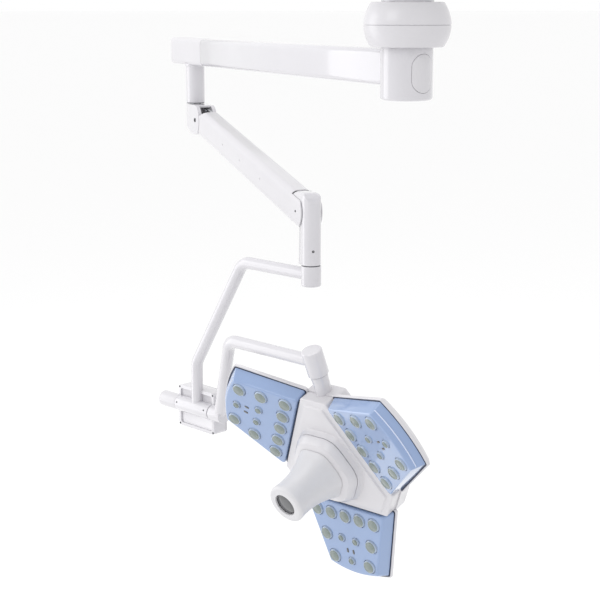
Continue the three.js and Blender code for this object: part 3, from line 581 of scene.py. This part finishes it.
def horizontal_arm():
    centre = ARM @ Matrix.Translation((0, 0, ARM_Z))
    seam, seam_shade_inset, seam_shade_half, nose, steps, start = 0.6, 1.4, 2, 11, 8, 46
    tube = beam("arm_tube", arm_section(0), start, ARM_SEAM - seam, centre)
    show(bevel(tube, 0.6, segments=2, angle=60), "main_arm", PAINT, "white_paint", "arm_beam")
    # painted shade: a dark core inside the open joint line between the arm tube and its nose
    show(beam("arm_seam_shade", arm_section(seam_shade_inset), ARM_SEAM - seam_shade_half, ARM_SEAM + seam_shade_half, centre),
         "main_arm", SEAM_SHADE, "gasket")
    levels = [(arm_section(0.5), ARM_SEAM + seam), (arm_section(0), ARM_SEAM + seam + 0.5)]
    for i in range(steps + 1):
        t = pi / 2 * i / steps
        levels.append((arm_section(nose * (1 - cos(t))), ARM_TIP - nose + nose * sin(t)))
    show(stack("arm_nose", levels, centre @ ALONG_X), "main_arm", PLASTIC, "white_plastic",
         "arm_end_cap", smooth=26)

    drop = ARM @ Matrix.Translation((DROP_X, 0, 0))
    underside, low = ARM_Z - ARM_H / 2, DROP_SEAM + SEAM_GAP
    sunk, flange, flange_t, shoulder = 4, 3, 3, 6
    post = [(0, underside + sunk), (DROP_R + flange, underside + sunk),
            (DROP_R + flange, underside - flange_t), (DROP_R, underside - shoulder), (DROP_R, low), (0, low)]
    show(lathe("drop_post", rounded(post, [0, 0, 1.2, 1.5, 0.8, 0]), drop), "main_arm", PAINT,
         "white_paint", "drop_tube")
    # painted shade: dark disc in the joint line under the drop post
    seam_shade_disc("drop_seam_shade", DROP_R - 1.3, DROP_SEAM, drop, "main_arm")


# ------------------------------------------------------------------ spring arm
def upper_knuckle():
    """Fork under the drop post: round at the swivel and round again about the arm's pivot."""
    top, far, deep, high = -GAP * 5, ROOT_X + 60, -120, 10
    chin_z, belly_x, crest_x = -62, 58, ROOT_X - 30
    side = [(-DROP_R, top), (-DROP_R, chin_z), (belly_x, ROOT_Z - KNUCKLE_R)]
    side += arc(ROOT_X, ROOT_Z, KNUCKLE_R, -90, 90, 40) + [(crest_x, top)]
    casting = slab("upper_casting", side, -DROP_R, DROP_R, KNUCKLE)
    casting = both(casting, prism("plan", capsule(0, far, DROP_R), deep, high, KNUCKLE))
    casting = bevel(casting, 1.8, segments=4, angle=34)
    slot_back, roof, roof_end = ROOT_X - 34, -7.5, ROOT_X + 8
    slot = [(slot_back, deep), (far, deep), (far, high), (roof_end, high), (roof_end, roof),
            (slot_back, roof)]
    casting = minus(casting, slab("slot", slot, -SLOT_HALF, SLOT_HALF, KNUCKLE))
    show(casting, "upper_knuckle", PAINT, "white_paint", "upper_knuckle_casting")

    caps = []
    for side_sign in (-1, 1):
        spot = Matrix.Translation((ROOT_X, side_sign * (DROP_R - 0.4), ROOT_Z))
        caps.append(KNUCKLE @ spot @ Matrix.Rotation(-side_sign * pi / 2, 4, "X"))
    screws("upper_pivot_screws", caps, 6, "upper_knuckle")
    way = towards_camera(KNUCKLE, "arm_swivel")
    side_screw("knuckle_set_screw", KNUCKLE, way, DROP_R - 0.5, -9, 2.6, "upper_knuckle")


def spring_arm():
    half, past = SHELL_H / 2, 60
    end, wide = SPRING_L + past, SHELL_W - 2 * SHELL_WALL
    shell = beam("arm_shell", rounded_rect(SHELL_W, SHELL_H, 18, 14), 0, SPRING_L + half, SPRING)
    shell = both(shell, slab("ends", capsule(0, SPRING_L, half, 48), -SHELL_W, SHELL_W, SPRING))
    shell = bevel(shell, 1.2, segments=3, angle=50)
    core = beam("core", rounded_rect(wide, SHELL_H - 2 * SHELL_WALL, 12), -past, end, SPRING)
    mouth = beam("mouth", rounded_rect(wide, SHELL_H + 20, 1), SPRING_L - half - 1, end, SPRING)
    clear = rod("clear", KNUCKLE_R + 2, -past, past, SPRING @ turned_to("Y"), sides=WIDE_SIDES)
    relief_side = [(0, past), (0, 15), (KNUCKLE_R + 5, 24), (110, past)]
    shell = minus(shell, core, mouth, clear, slab("relief", relief_side, -SHELL_W, SHELL_W, SPRING))
    root_end_plate()

    dimple_r, dimple_depth, outside = 2.6, 1.2, 3
    for x in (300, 470, 655):
        spot = SPRING @ turned_to("Y", (x, 0, 0))
        shell = minus(shell, rod("dimple", dimple_r, -SHELL_W / 2 - outside, -SHELL_W / 2 + dimple_depth,
                                 spot, sides=24))
    show(shell, "spring_arm", PLASTIC, "white_plastic", "spring_arm_shell")

    outward, down = Matrix.Rotation(pi / 2, 4, "X"), Matrix.Rotation(pi, 4, "X")
    sunk = 0.3
    face = SHELL_W / 2 - sunk
    spots = [SPRING @ Matrix.Translation((SPRING_L, -face, 0)) @ outward,
             SPRING @ Matrix.Translation((SPRING_L, face, 0)) @ outward.inverted()]
    screws("front_pivot_screws", spots, 3, "spring_arm")
    under = [SPRING @ Matrix.Translation((x, 0, -half + sunk)) @ down for x in (120, 215, 800)]
    screws("shell_screws", under, 3.2, "spring_arm")


def root_end_plate():
    """Sloping plate that closes the shell behind the upper knuckle, with a window for the link."""
    slope = [(46.8, 23.4), (76, 40), (78.6, 38.4), (48.6, 20.9)]
    inset = 2
    plate = slab("root_end_plate", slope, -SHELL_W / 2 + inset, SHELL_W / 2 - inset, SPRING)
    window = [(40, 12), (70, 12), (70, 36.5), (40, 36.5)]
    plate = minus(plate, slab("link_window", window, LINK_Y0 - LINK_SLIT, LINK_Y1 + LINK_SLIT, SPRING))
    inside = beam("inside", rounded_rect(SHELL_W - 2, SHELL_H - 2, 17, 14), 0, 120, SPRING)
    show(both(plate, inside), "spring_arm", PLASTIC, "white_plastic")


def front_knuckle():
    """Elbow with a rounded crown and a hood that stays inside the spring arm's mouth."""
    back, front, crown, heel, corner = STEM_X - NECK_R, STEM_X + NECK_R, 34, 34, 13
    bottom, shoulder, deep, past = KNUCKLE_SEAM + SEAM_GAP, KNUCKLE_TOP - corner, -140, 60
    side = [(back, bottom), (front, bottom)]
    side += arc(front - crown, KNUCKLE_TOP - crown, crown, 0, 90, 24)
    side += arc(0, 0, KNUCKLE_TOP, 95, 142, 14) + arc(0, 0, heel, 150, 300, 30)
    right = arc(NECK_R - corner, shoulder, corner, 0, 90, 14)
    left = [(-y, z) for y, z in reversed(right)]
    section = [(-NECK_R, deep), (NECK_R, deep), *right, *left]
    stem = FRONT @ Matrix.Translation((STEM_X, 0, 0))
    dome = lathe("dome", [(0, deep), (NECK_R, deep), *right, (0, KNUCKLE_TOP)], stem)
    envelope = plus(beam("envelope", section, -past, STEM_X, FRONT), dome)
    casting = both(slab("elbow", side, -NECK_R - 1, NECK_R + 1, FRONT), envelope)
    casting = bevel(casting, 0.8, segments=3, angle=40)
    slot_end, slot_top, slit_end, slit_low = 24, 38, 5, 30
    slot = [(-past, -past), (slot_end, -past), (slot_end, slot_top), (-past, slot_top)]
    slit = [(-past, slit_low), (slit_end, slit_low), (slit_end, past), (-past, past)]
    casting = minus(casting, slab("slot", slot, -SLOT_HALF, SLOT_HALF, FRONT),
                    slab("link_slit", slit, LINK_Y0 - LINK_SLIT, LINK_Y1 + LINK_SLIT, FRONT))
    show(casting, "front_knuckle", PAINT, "white_paint", "front_knuckle_casting")
    # painted shade: dark disc in the joint line at the knuckle's swivel
    seam_shade_disc("swivel_seam_shade", NECK_R - 1.2, KNUCKLE_SEAM, stem, "front_knuckle")
    way = towards_camera(FRONT, "front_knuckle_level", turn=12)
    side_screw("swivel_lock_screw", stem, way, NECK_R - 0.6, -89, 3, "front_knuckle")


# ------------------------------------------------------------------ suspension
def suspension():
    top = -GAP * 3
    wall = [(0, top), (COLLAR_R, top), (COLLAR_R, -COLLAR_H), (0, -COLLAR_H)]
    show(lathe("collar", rounded(wall, [0, 0.8, 4, 0]), SUSPENSION), "suspension", PAINT,
         "white_paint", "swivel_collar")
    route = [(15, RUN_Z), (239, RUN_Z), (423, GIMBAL_Z + 124), (424, GIMBAL_Z + 12)]
    show(sweep("upper_tube", route, TUBE_R, SUSPENSION), "suspension", PAINT, "white_paint",
         "upper_suspension_tube", smooth=40)

    axis = SUSPENSION @ turned_to("X", (0, 0, GIMBAL_Z))
    barrel = rod("block_barrel", BLOCK_R, BLOCK_X0 + 1, BLOCK_X1, axis, edge=0.8, sides=ROUND_SIDES)
    show(barrel, "suspension", PAINT, "white_paint", "joint_block")
    seam_shade_r, cap_r, cap_start = BLOCK_R - 1.4, BLOCK_R - 0.4, BLOCK_X1 + 1
    # painted shade: dark core showing in the joint lines at both ends of the barrel
    show(rod("block_seam_shade", seam_shade_r, BLOCK_X0 - 0.2, BLOCK_X1 + 2, axis, sides=ROUND_SIDES), "suspension",
         SEAM_SHADE, "gasket")
    cap = [(0, cap_start), (cap_r, cap_start), (cap_r, BLOCK_CAP_X), (0, BLOCK_CAP_X)]
    show(lathe("block_cap", rounded(cap, [0, 0.8, 5, 0]), axis), "suspension", PLASTIC,
         "white_plastic", "block_end_cap")
    tilt = Matrix.Rotation(radians(-72), 4, "X")
    out = Matrix.Translation((0, 0, BLOCK_R - 0.5))
    facing = [SUSPENSION @ Matrix.Translation((x, 0, GIMBAL_Z)) @ tilt @ out
              for x in (BLOCK_X0 + 14, BLOCK_X1 - 9)]
    screws("block_screws", facing, 2.3, "suspension")
    control_box()


def control_box():
    width, height, lid_back, lid_front, depth = BLOCK_X1 - BLOCK_X0 + 12, 112, -44, -41.6, -41
    border, recess, screw_inset = 9, 4.5, 5.5
    centre = SUSPENSION @ Matrix.Translation(((BLOCK_X0 + BLOCK_X1) / 2, 0, GIMBAL_Z - 6))
    outline = rounded_rect(width, height, 10)
    box = bevel(slab("box_body", outline, depth, 0, centre), 1.6, segments=4, angle=50)
    window = rounded_rect(width - 2 * border, height - 2 * border, 6)
    panel = bevel(slab("panel", window, -recess, 5, centre), 1, segments=2, angle=50)
    show(minus(box, panel), "suspension", PAINT, "white_paint", "control_box")
    lid = bevel(slab("box_lid", outline, lid_back, lid_front, centre), 0.8, segments=3, angle=50)
    show(lid, "suspension", PLASTIC, "white_plastic", "control_box_lid")

    reach_x, reach_z = width / 2 - screw_inset, height / 2 - screw_inset
    corners = [(sx * reach_x, sz * reach_z) for sx in (-1, 1) for sz in (-1, 1)]
    forward, backward = Matrix.Rotation(-pi / 2, 4, "X"), Matrix.Rotation(pi / 2, 4, "X")
    spots = [centre @ Matrix.Translation((x, -0.3, z)) @ forward for x, z in corners]
    spots += [centre @ Matrix.Translation((x, lid_back + 0.2, z)) @ backward for x, z in corners]
    screws("box_screws", spots, 2.6, "suspension")


# ------------------------------------------------------------------ yoke
def yoke():
    axis = YOKE @ turned_to("X")
    hub_end = YOKE_HUB_X1 - 0.8
    show(rod("yoke_barrel", BLOCK_R, YOKE_HUB_X0, hub_end, axis, edge=1.4, sides=ROUND_SIDES), "yoke",
         PAINT, "white_paint", "yoke_hub")
    start_x, start_z = 14, 6
    corner = YOKE_LEG_X - YOKE_LEG_SLOPE * YOKE_RUN_Z
    route = [(start_x, YOKE_RUN_Z), (corner, YOKE_RUN_Z),
             (YOKE_LEG_X - YOKE_LEG_SLOPE * start_z, start_z)]
    show(sweep("yoke_arm", route, TUBE_R, YOKE), "yoke", PAINT, "white_paint", "yoke_tube", smooth=40)
    cap = [(0, CAP_LOW + 1), (CAP_R, CAP_LOW + 1), (CAP_R, CAP_HIGH), (0, CAP_HIGH)]
    show(lathe("gimbal_cap", rounded(cap, [0, 0.8, 4.5, 0]), YOKE), "yoke", PAINT, "white_paint",
         "pivot_cap")
    # painted shade: dark ring in the joint line between the gimbal cap and the yoke
    show(rod("gimbal_seam_shade", CAP_R - 1.5, CAP_LOW - 0.1, CAP_LOW + 3, YOKE), "yoke", SEAM_SHADE, "gasket")


# ------------------------------------------------------------------ lamp head
def cover_outline(w, inset=0.0, corner=6):
    """Petal outline at height w: straight inner edge and sides, an arc outside."""
    t = (w - BASE_W) / (FACE_W - BASE_W)
    inner_side_inset, outer_side_inset, steps = 1.3, 1.1, 16
    outer = BASE_ARC + (FACE_ARC - BASE_ARC) * t - PETAL_RHO - inset
    bulge = PETAL_BULGE - t
    inner, inner_half = PETAL_INNER + 4 * t + inset, PETAL_INNER_HALF - 10 * t - inset * inner_side_inset
    edge, edge_half = outer - bulge, PETAL_OUTER_HALF - 8 * t - inset * outer_side_inset
    curve = []
    for i in range(1, steps):
        s = i / steps
        curve.append((edge + 4 * bulge * s * (1 - s), edge_half * (2 * s - 1)))
    points = [(inner, -inner_half), (edge, -edge_half), *curve, (edge, edge_half), (inner, inner_half)]
    return rounded(points, [corner, corner, *[0] * len(curve), corner, corner])


def petal(letter, heading):
    place = on_petal(heading)
    inside = COVER_IN + COVER_WALL
    petal_cover(letter, place, inside)
    petal_seal(letter, place, inside)
    board_inset, board_low, board_high = 9, -7, -5
    tray = prism(f"petal_{letter}_tray", cover_outline(BASE_W, board_inset), board_low, board_high, place)
    show(tray, "lamp_head", BOARD, "circuit_board", f"led_board_{letter}")
    lenses(letter, place)
    slots = []
    for side in (-9.4, 9.4):
        spot = place @ Matrix.Translation((96, side, FACE_W))
        slot = prism("slot", capsule(-3.2, 3.2, 3, 12), -0.6, 0.7, spot)
        slots.append(bevel(slot, 0.3, segments=2, angle=50))
    show(merged(f"petal_{letter}_sensors", slots), "lamp_head", DARK_GLASS, "camera_black")


def petal_cover(letter, place, inside):
    """Moulded cover with a rolled edge and a window for each lens."""
    edge, steps, window_play = 3.6, 6, 0.9
    levels = [(cover_outline(BASE_W, COVER_IN), BASE_W),
              (cover_outline(FACE_W - edge, COVER_IN), FACE_W - edge)]
    for i in range(1, steps + 1):
        t = pi / 2 * i / steps
        w = FACE_W - edge + edge * sin(t)
        levels.append((cover_outline(w, COVER_IN + edge * (1 - cos(t))), w))
    shell = stack(f"petal_{letter}_cover", levels, place)
    top = FACE_W - COVER_WALL
    hollow = stack("hollow", [(cover_outline(BASE_W, inside), BASE_W - 1),
                              (cover_outline(top, inside + 0.8), top)], place)
    windows = [rod("window", radius + window_play, FACE_W - 8, FACE_W + 4,
                   place @ Matrix.Translation((x, y, 0)), sides=LENS_SIDES)
               for x, y, radius in lens_places()]
    shell = minus(shell, hollow, merged("windows", windows))
    show(shell, "lamp_head", BLUE, "blue_cover", f"petal_cover_{letter}", smooth=24)


def petal_seal(letter, place, inside):
    """Seal ring under the cover and a dark lip along its inner edge."""
    outer, inner = cover_outline(BASE_W, COVER_IN - SEAL_W), cover_outline(BASE_W, inside)
    low, high = BASE_W - SEAL_T, BASE_W - GAP
    ring = stack("seal", [(outer, low), (outer, high), (inner, high), (inner, low)], place, ring=True)
    lip_half, lip_end, lean, taper = 122, -32.2, 2.2, 0.96
    foot = [(PETAL_INNER, -lip_half), (lip_end, -lip_half), (lip_end, lip_half), (PETAL_INNER, lip_half)]
    crest = [(x + lean, y * taper) for x, y in foot]
    lip = stack("lip", [(foot, BASE_W), (crest, FACE_W - 7)], place)
    show(merged(f"petal_{letter}_seal", [ring, lip]), "lamp_head", RUBBER, "gasket",
         f"petal_gasket_{letter}")


def lens_places():
    """Five lenses along the inner edge, two pairs beyond them and three small ones between."""
    near, far, near_half, far_half, small_half = 64, 123, 71.5, 55.5, 22.5
    places = [(0, k * LENS_PITCH, LENS_BIG) for k in range(-2, 3)]
    places += [(near, side * near_half, LENS_BIG) for side in (-1, 1)]
    places += [(far, side * far_half, LENS_BIG) for side in (-1, 1)]
    places += [(near, side * small_half, LENS_SMALL) for side in (-1, 1)]
    return places + [(far, 0, LENS_SMALL)]


def lenses(letter, place):
    """Each optic is a ridged grey-green face on a tapered moulding that stands proud."""
    taper, rise, foot, wall, play = 1.8, 4, -4.9, 3, 0.9
    face = FACE_W + rise
    ridges = ((0.86, 0.9), (0.80, 0.4), (0.60, 1.2), (0.54, 0.7), (0.32, 1.5), (0, 1.7))
    cups, optics = [], []
    for x, y, radius in lens_places():
        spot = place @ Matrix.Translation((x, y, 0))
        rim = radius - taper
        moulding = [(rim - wall, foot), (radius, foot), (radius, FACE_W - 0.5), (rim + 0.3, face),
                    (rim - 0.8, face), (rim - wall, FACE_W)]
        cups.append(lathe("cup", rounded(moulding, [0, 0, 0.3, 0.4, 0, 0]), spot, LENS_SIDES))
        dome = [(0, FACE_W - 2), (rim - play, FACE_W - 2), (rim - play, face)]
        dome += [(rim * share, face + height) for share, height in ridges]
        optics.append(lathe("optic", dome, spot, LENS_SIDES))
    show(merged(f"petal_{letter}_cups", cups), "lamp_head", CUP, "lens")
    show(merged(f"petal_{letter}_optics", optics), "lamp_head", OPTIC, "lens", f"lens_array_{letter}")


def body_outline(long_inset, short_inset, corner):
    """Six-sided: long flats face the petals, short flats lie between them."""
    long, short = BODY_LONG - long_inset, BODY_SHORT - short_inset
    half = (2 * long - short) / sqrt(3)
    corners = []
    for heading in (0, 120, 240):
        t = radians(heading)
        for side in (-half, half):
            corners.append((short * cos(t) - side * sin(t), short * sin(t) + side * cos(t)))
    return rounded(corners, [corner] * 6)


def body_stack(name, base, corner, rows):
    """Body solid from rows of long-side inset, short-side inset and height above the base."""
    levels = [(body_outline(long, short, corner), base + height) for long, short, height in rows]
    return stack(name, levels, HEAD)


def hexround(flat, share, sides=ROUND_SIDES):
    """A circle that share turns into a hexagon with soft corners and flats towards the petals."""
    depth = 0.031
    out = []
    for i in range(sides):
        t = 2 * pi * i / sides
        radius = flat * (1 + depth * share * (1 - cos(6 * t)))
        out.append((radius * cos(t), radius * sin(t)))
    return out


def boss_stack(name, base, rows):
    """Hexagonal boss from rows of radius, height above the base and share of hexagon."""
    return stack(name, [(hexround(radius, share), base + height) for radius, height, share in rows], HEAD)


def head_housing():
    rear_shell()
    front_cover()
    neck()


def rear_shell():
    """Rear housing with a shallow dish behind each petal, and its service plate."""
    housing = body_stack("rear_shell", BODY_BACK, 8, [(4, 4, 0), (-7, 0, 4), (-10, -2, 10),
                                                      (-10, -2, BODY_SPLIT - BODY_BACK)])
    dish = [(16, 20), (9, 18.5), (3, 14), (-2.5, 7), (-2.5, 1.5), (-1.6, 0.4), (0, 0.4), (0.2, 2.4)]
    for heading in PETALS.values():
        lobe = [(cover_outline(BASE_W, inset), BASE_W - drop) for inset, drop in dish]
        housing = plus(housing, stack("lobe", lobe, on_petal(heading)))
    show(housing, "lamp_head", PLASTIC, "white_plastic", "rear_housing", smooth=26)

    plate_r, plate_low, plate_high = 60, BODY_BACK - 3, BODY_BACK + 1
    wall = [(0, plate_low), (plate_r, plate_low), (plate_r, plate_high), (0, plate_high)]
    plate = lathe("service_plate", rounded(wall, [0, 1.2, 0, 0]), HEAD)
    show(plate, "lamp_head", PLASTIC, "white_plastic", "rear_service_cover")
    back = Matrix.Rotation(pi, 4, "X")
    spots = [HEAD @ Matrix.Translation((x, y, plate_low + 0.2)) @ back
             for x, y in ring_of(6, 52, radians(30))]
    screws("service_screws", spots, 3, "lamp_head")


def front_cover():
    """Front cover with a raised panel, and the ring round the handle's root."""
    cover = body_stack("front_shell", BODY_FRONT, 6, [
        (-3, 1, BODY_SPLIT + GAP - BODY_FRONT), (-3, 1, -9), (-1, 3, -6.5), (9, 11, -5.4),
        (12.5, 14, -4.8), (15, 17, -0.8), (17, 19.5, 0)])
    rise = boss_stack("rise", BODY_FRONT, [(88, -6, 1), (98, -1, 1), (94, 4, 1),
                                           (90.5, RING_LOW - BODY_FRONT - 1.2, 1)])
    show(plus(cover, rise), "lamp_head", PLASTIC, "white_plastic", "front_body_cover", smooth=26)
    height = RING_HIGH - RING_LOW
    ring = boss_stack("boss_ring", RING_LOW, [
        (89.5, 0, 1), (90, 1, 1), (87.5, 8, 1), (79, height - 4, 1), (RING_TOP_R + 2, height - 0.6, 0.9),
        (RING_TOP_R, height, 0.9)])
    show(ring, "lamp_head", PLASTIC, "white_plastic", "handle_ring", smooth=26)
    # painted shade: dark ring in the joint line between the front cover's rise and the handle ring
    seam_shade_r = 87.6
    show(boss_stack("boss_seam_shade", RING_LOW, [(seam_shade_r, -3, 1), (seam_shade_r, 2, 1)]), "lamp_head", SEAM_SHADE,
         "gasket")


def neck():
    """Waisted cone from the body to the yoke's cap."""
    start, end, end_r, steps = 130, CAP_LOW - 1, 21.5, 6
    stations = [(start, 24), (150, 22.5), (168, 20.5), (186, 19.5), (204, 20), (end, end_r)]
    profile = [(0, start)]
    for (x0, r0), (x1, r1) in zip(stations, stations[1:]):
        for i in range(steps):
            ease = (1 - cos(pi * i / steps)) / 2
            profile.append((r0 + (r1 - r0) * ease, x0 + (x1 - x0) * i / steps))
    profile += [(end_r, end), (0, end)]
    show(lathe("neck_cone", profile, HEAD @ turned_to("X")), "lamp_head", PAINT, "white_paint",
         "head_neck", smooth=40)


# ------------------------------------------------------------------ handle
def grip_radius(share):
    """Outside of the grip from its flared root at 0 to its tip at 1."""
    return GRIP_R + (HANDLE_TIP_R - GRIP_R) * share - GRIP_WAIST * share * (1 - share)


def handle():
    root, end, play = RING_HIGH + 2 * GAP, HANDLE_TIP - 10, 8
    core = [(WINDOW_R, root)]
    for i in range(GRIP_STEPS + 1):
        share = i / GRIP_STEPS
        core.append((grip_radius(share) - play, root + (end - root) * share))
    core.append((WINDOW_R, end))
    show(lathe("grip_core", core, HEAD), "handle", PLASTIC, "white_plastic", "handle_core")
    glass = [(0, HANDLE_TIP - 9), (WINDOW_R, HANDLE_TIP - 9), (WINDOW_R, HANDLE_TIP - 6),
             (WINDOW_R - 2, HANDLE_TIP - 5), (12, HANDLE_TIP - 4.4), (0, HANDLE_TIP - 4.2)]
    show(lathe("window_glass", glass, HEAD), "handle", DARK_GLASS, "camera_black", "camera_window")


def handle_sleeve():
    """Removable sleeve: its outside, its rolled tip, its mouth and then its inside back to the root."""
    lip, lip_steps, wall = 8, 6, 3.5
    root, tip, inner_end = RING_HIGH + 1.1, HANDLE_TIP - lip, HANDLE_TIP - 9
    shares = [i / GRIP_STEPS for i in range(GRIP_STEPS + 1)]
    levels = []
    for s in shares:
        flare = 0.9 * (1 - s) ** 3
        levels.append((hexround(grip_radius(s) + flare, 0.9 * (1 - s) ** 1.2), root + (tip - root) * s))
    for i in range(1, lip_steps + 1):
        t = pi / 2 * i / lip_steps
        levels.append((hexround(HANDLE_TIP_R - lip * (1 - cos(t)), 0), tip + lip * sin(t)))
    mouth = WINDOW_R + 3
    for radius, z in ((mouth + 1, HANDLE_TIP), (mouth, HANDLE_TIP - 1), (mouth, HANDLE_TIP - 5)):
        levels.append((hexround(radius, 0), z))
    for s in reversed(shares):
        levels.append((hexround(grip_radius(s) - wall, 0), root + (inner_end - root) * s))
    show(stack("grip_sleeve", levels, HEAD, ring=True), "handle_sleeve", SLEEVE, "white_plastic",
         "handle_sleeve", smooth=30)


# ------------------------------------------------------------------ inner pieces kept from the CAD
def paint_inner_nodes():
    materials = {"steel": STEEL, "brass": BRASS, "circuit_board": BOARD, "camera_black": DARK_GLASS,
                 "white_paint": PAINT, "white_plastic": PLASTIC, "gasket": RUBBER, "lens": OPTIC,
                 "blue_cover": BLUE}
    for part in frame["record"]["subparts"]:
        node = frame["nodes"][part["node"]]
        node.data.materials.clear()
        node.data.materials.append(materials[part["material_slot"]])


# ------------------------------------------------------------------ stage, light and camera
def softbox(name, turn, reach, rise, width, height, power):
    """A panel aimed at the light's middle, turned clockwise from the camera's side as seen from above."""
    middle = (CAD_BOX[0] + CAD_BOX[1]) / 2
    heading = radians(CAMERA_HEADING + 180 + turn)
    place = middle + Vector((sin(heading) * reach, cos(heading) * reach, rise))
    data = bpy.data.lights.new(name, "AREA")
    data.shape, data.size, data.size_y, data.energy = "RECTANGLE", width, height, power
    lamp = bpy.data.objects.new(name, data)
    bpy.context.scene.collection.objects.link(lamp)
    lamp.location = place
    lamp.rotation_euler = (middle - place).to_track_quat("-Z", "Y").to_euler()


def studio():
    span = FLOOR_SPAN
    floor = make("floor", [(-span, -span, FLOOR_Z), (span, -span, FLOOR_Z), (span, span, FLOOR_Z),
                           (-span, span, FLOOR_Z)], [(0, 1, 2, 3)], Matrix.Identity(4))
    pale = principled("pale_floor", Base_Color=(*[FLOOR_SHADE] * 3, 1), Roughness=1.0)[0]
    floor.data.materials.append(pale)
    world = bpy.data.worlds.new("studio")
    world.use_nodes = True
    world.node_tree.nodes["Background"].inputs["Color"].default_value = (1, 1, 1, 1)
    world.node_tree.nodes["Background"].inputs["Strength"].default_value = 1.0
    bpy.context.scene.world = world
    bpy.context.scene.view_settings.view_transform = "Standard"
    softbox("side_panel", turn=100, reach=4.0, rise=0.2, width=2.4, height=4.5, power=50)
    softbox("key", turn=38, reach=3.6, rise=2.4, width=2.0, height=2.0, power=22)
    softbox("top", turn=120, reach=1.2, rise=4.2, width=2.6, height=2.6, power=42)


def camera():
    data = bpy.data.cameras.new("photo_camera")
    data.lens, data.sensor_width, data.clip_end = CAMERA_LENS, 36, 2 * FLOOR_SPAN + 200
    eye = bpy.data.objects.new("photo_camera", data)
    bpy.context.scene.collection.objects.link(eye)
    eye.location = CAMERA_AT
    heading, pitch = radians(CAMERA_HEADING), radians(CAMERA_PITCH)
    way = Vector((sin(heading) * cos(pitch), cos(heading) * cos(pitch), -sin(pitch)))
    eye.rotation_euler = way.to_track_quat("-Z", "Y").to_euler()
    bpy.context.scene.camera = eye


camera()
studio()
paint_inner_nodes()
ceiling_column()
hub()
horizontal_arm()
upper_knuckle()
spring_arm()
front_knuckle()
suspension()
yoke()
head_housing()
for letter, heading in PETALS.items():
    petal(letter, heading)
handle()
handle_sleeve()
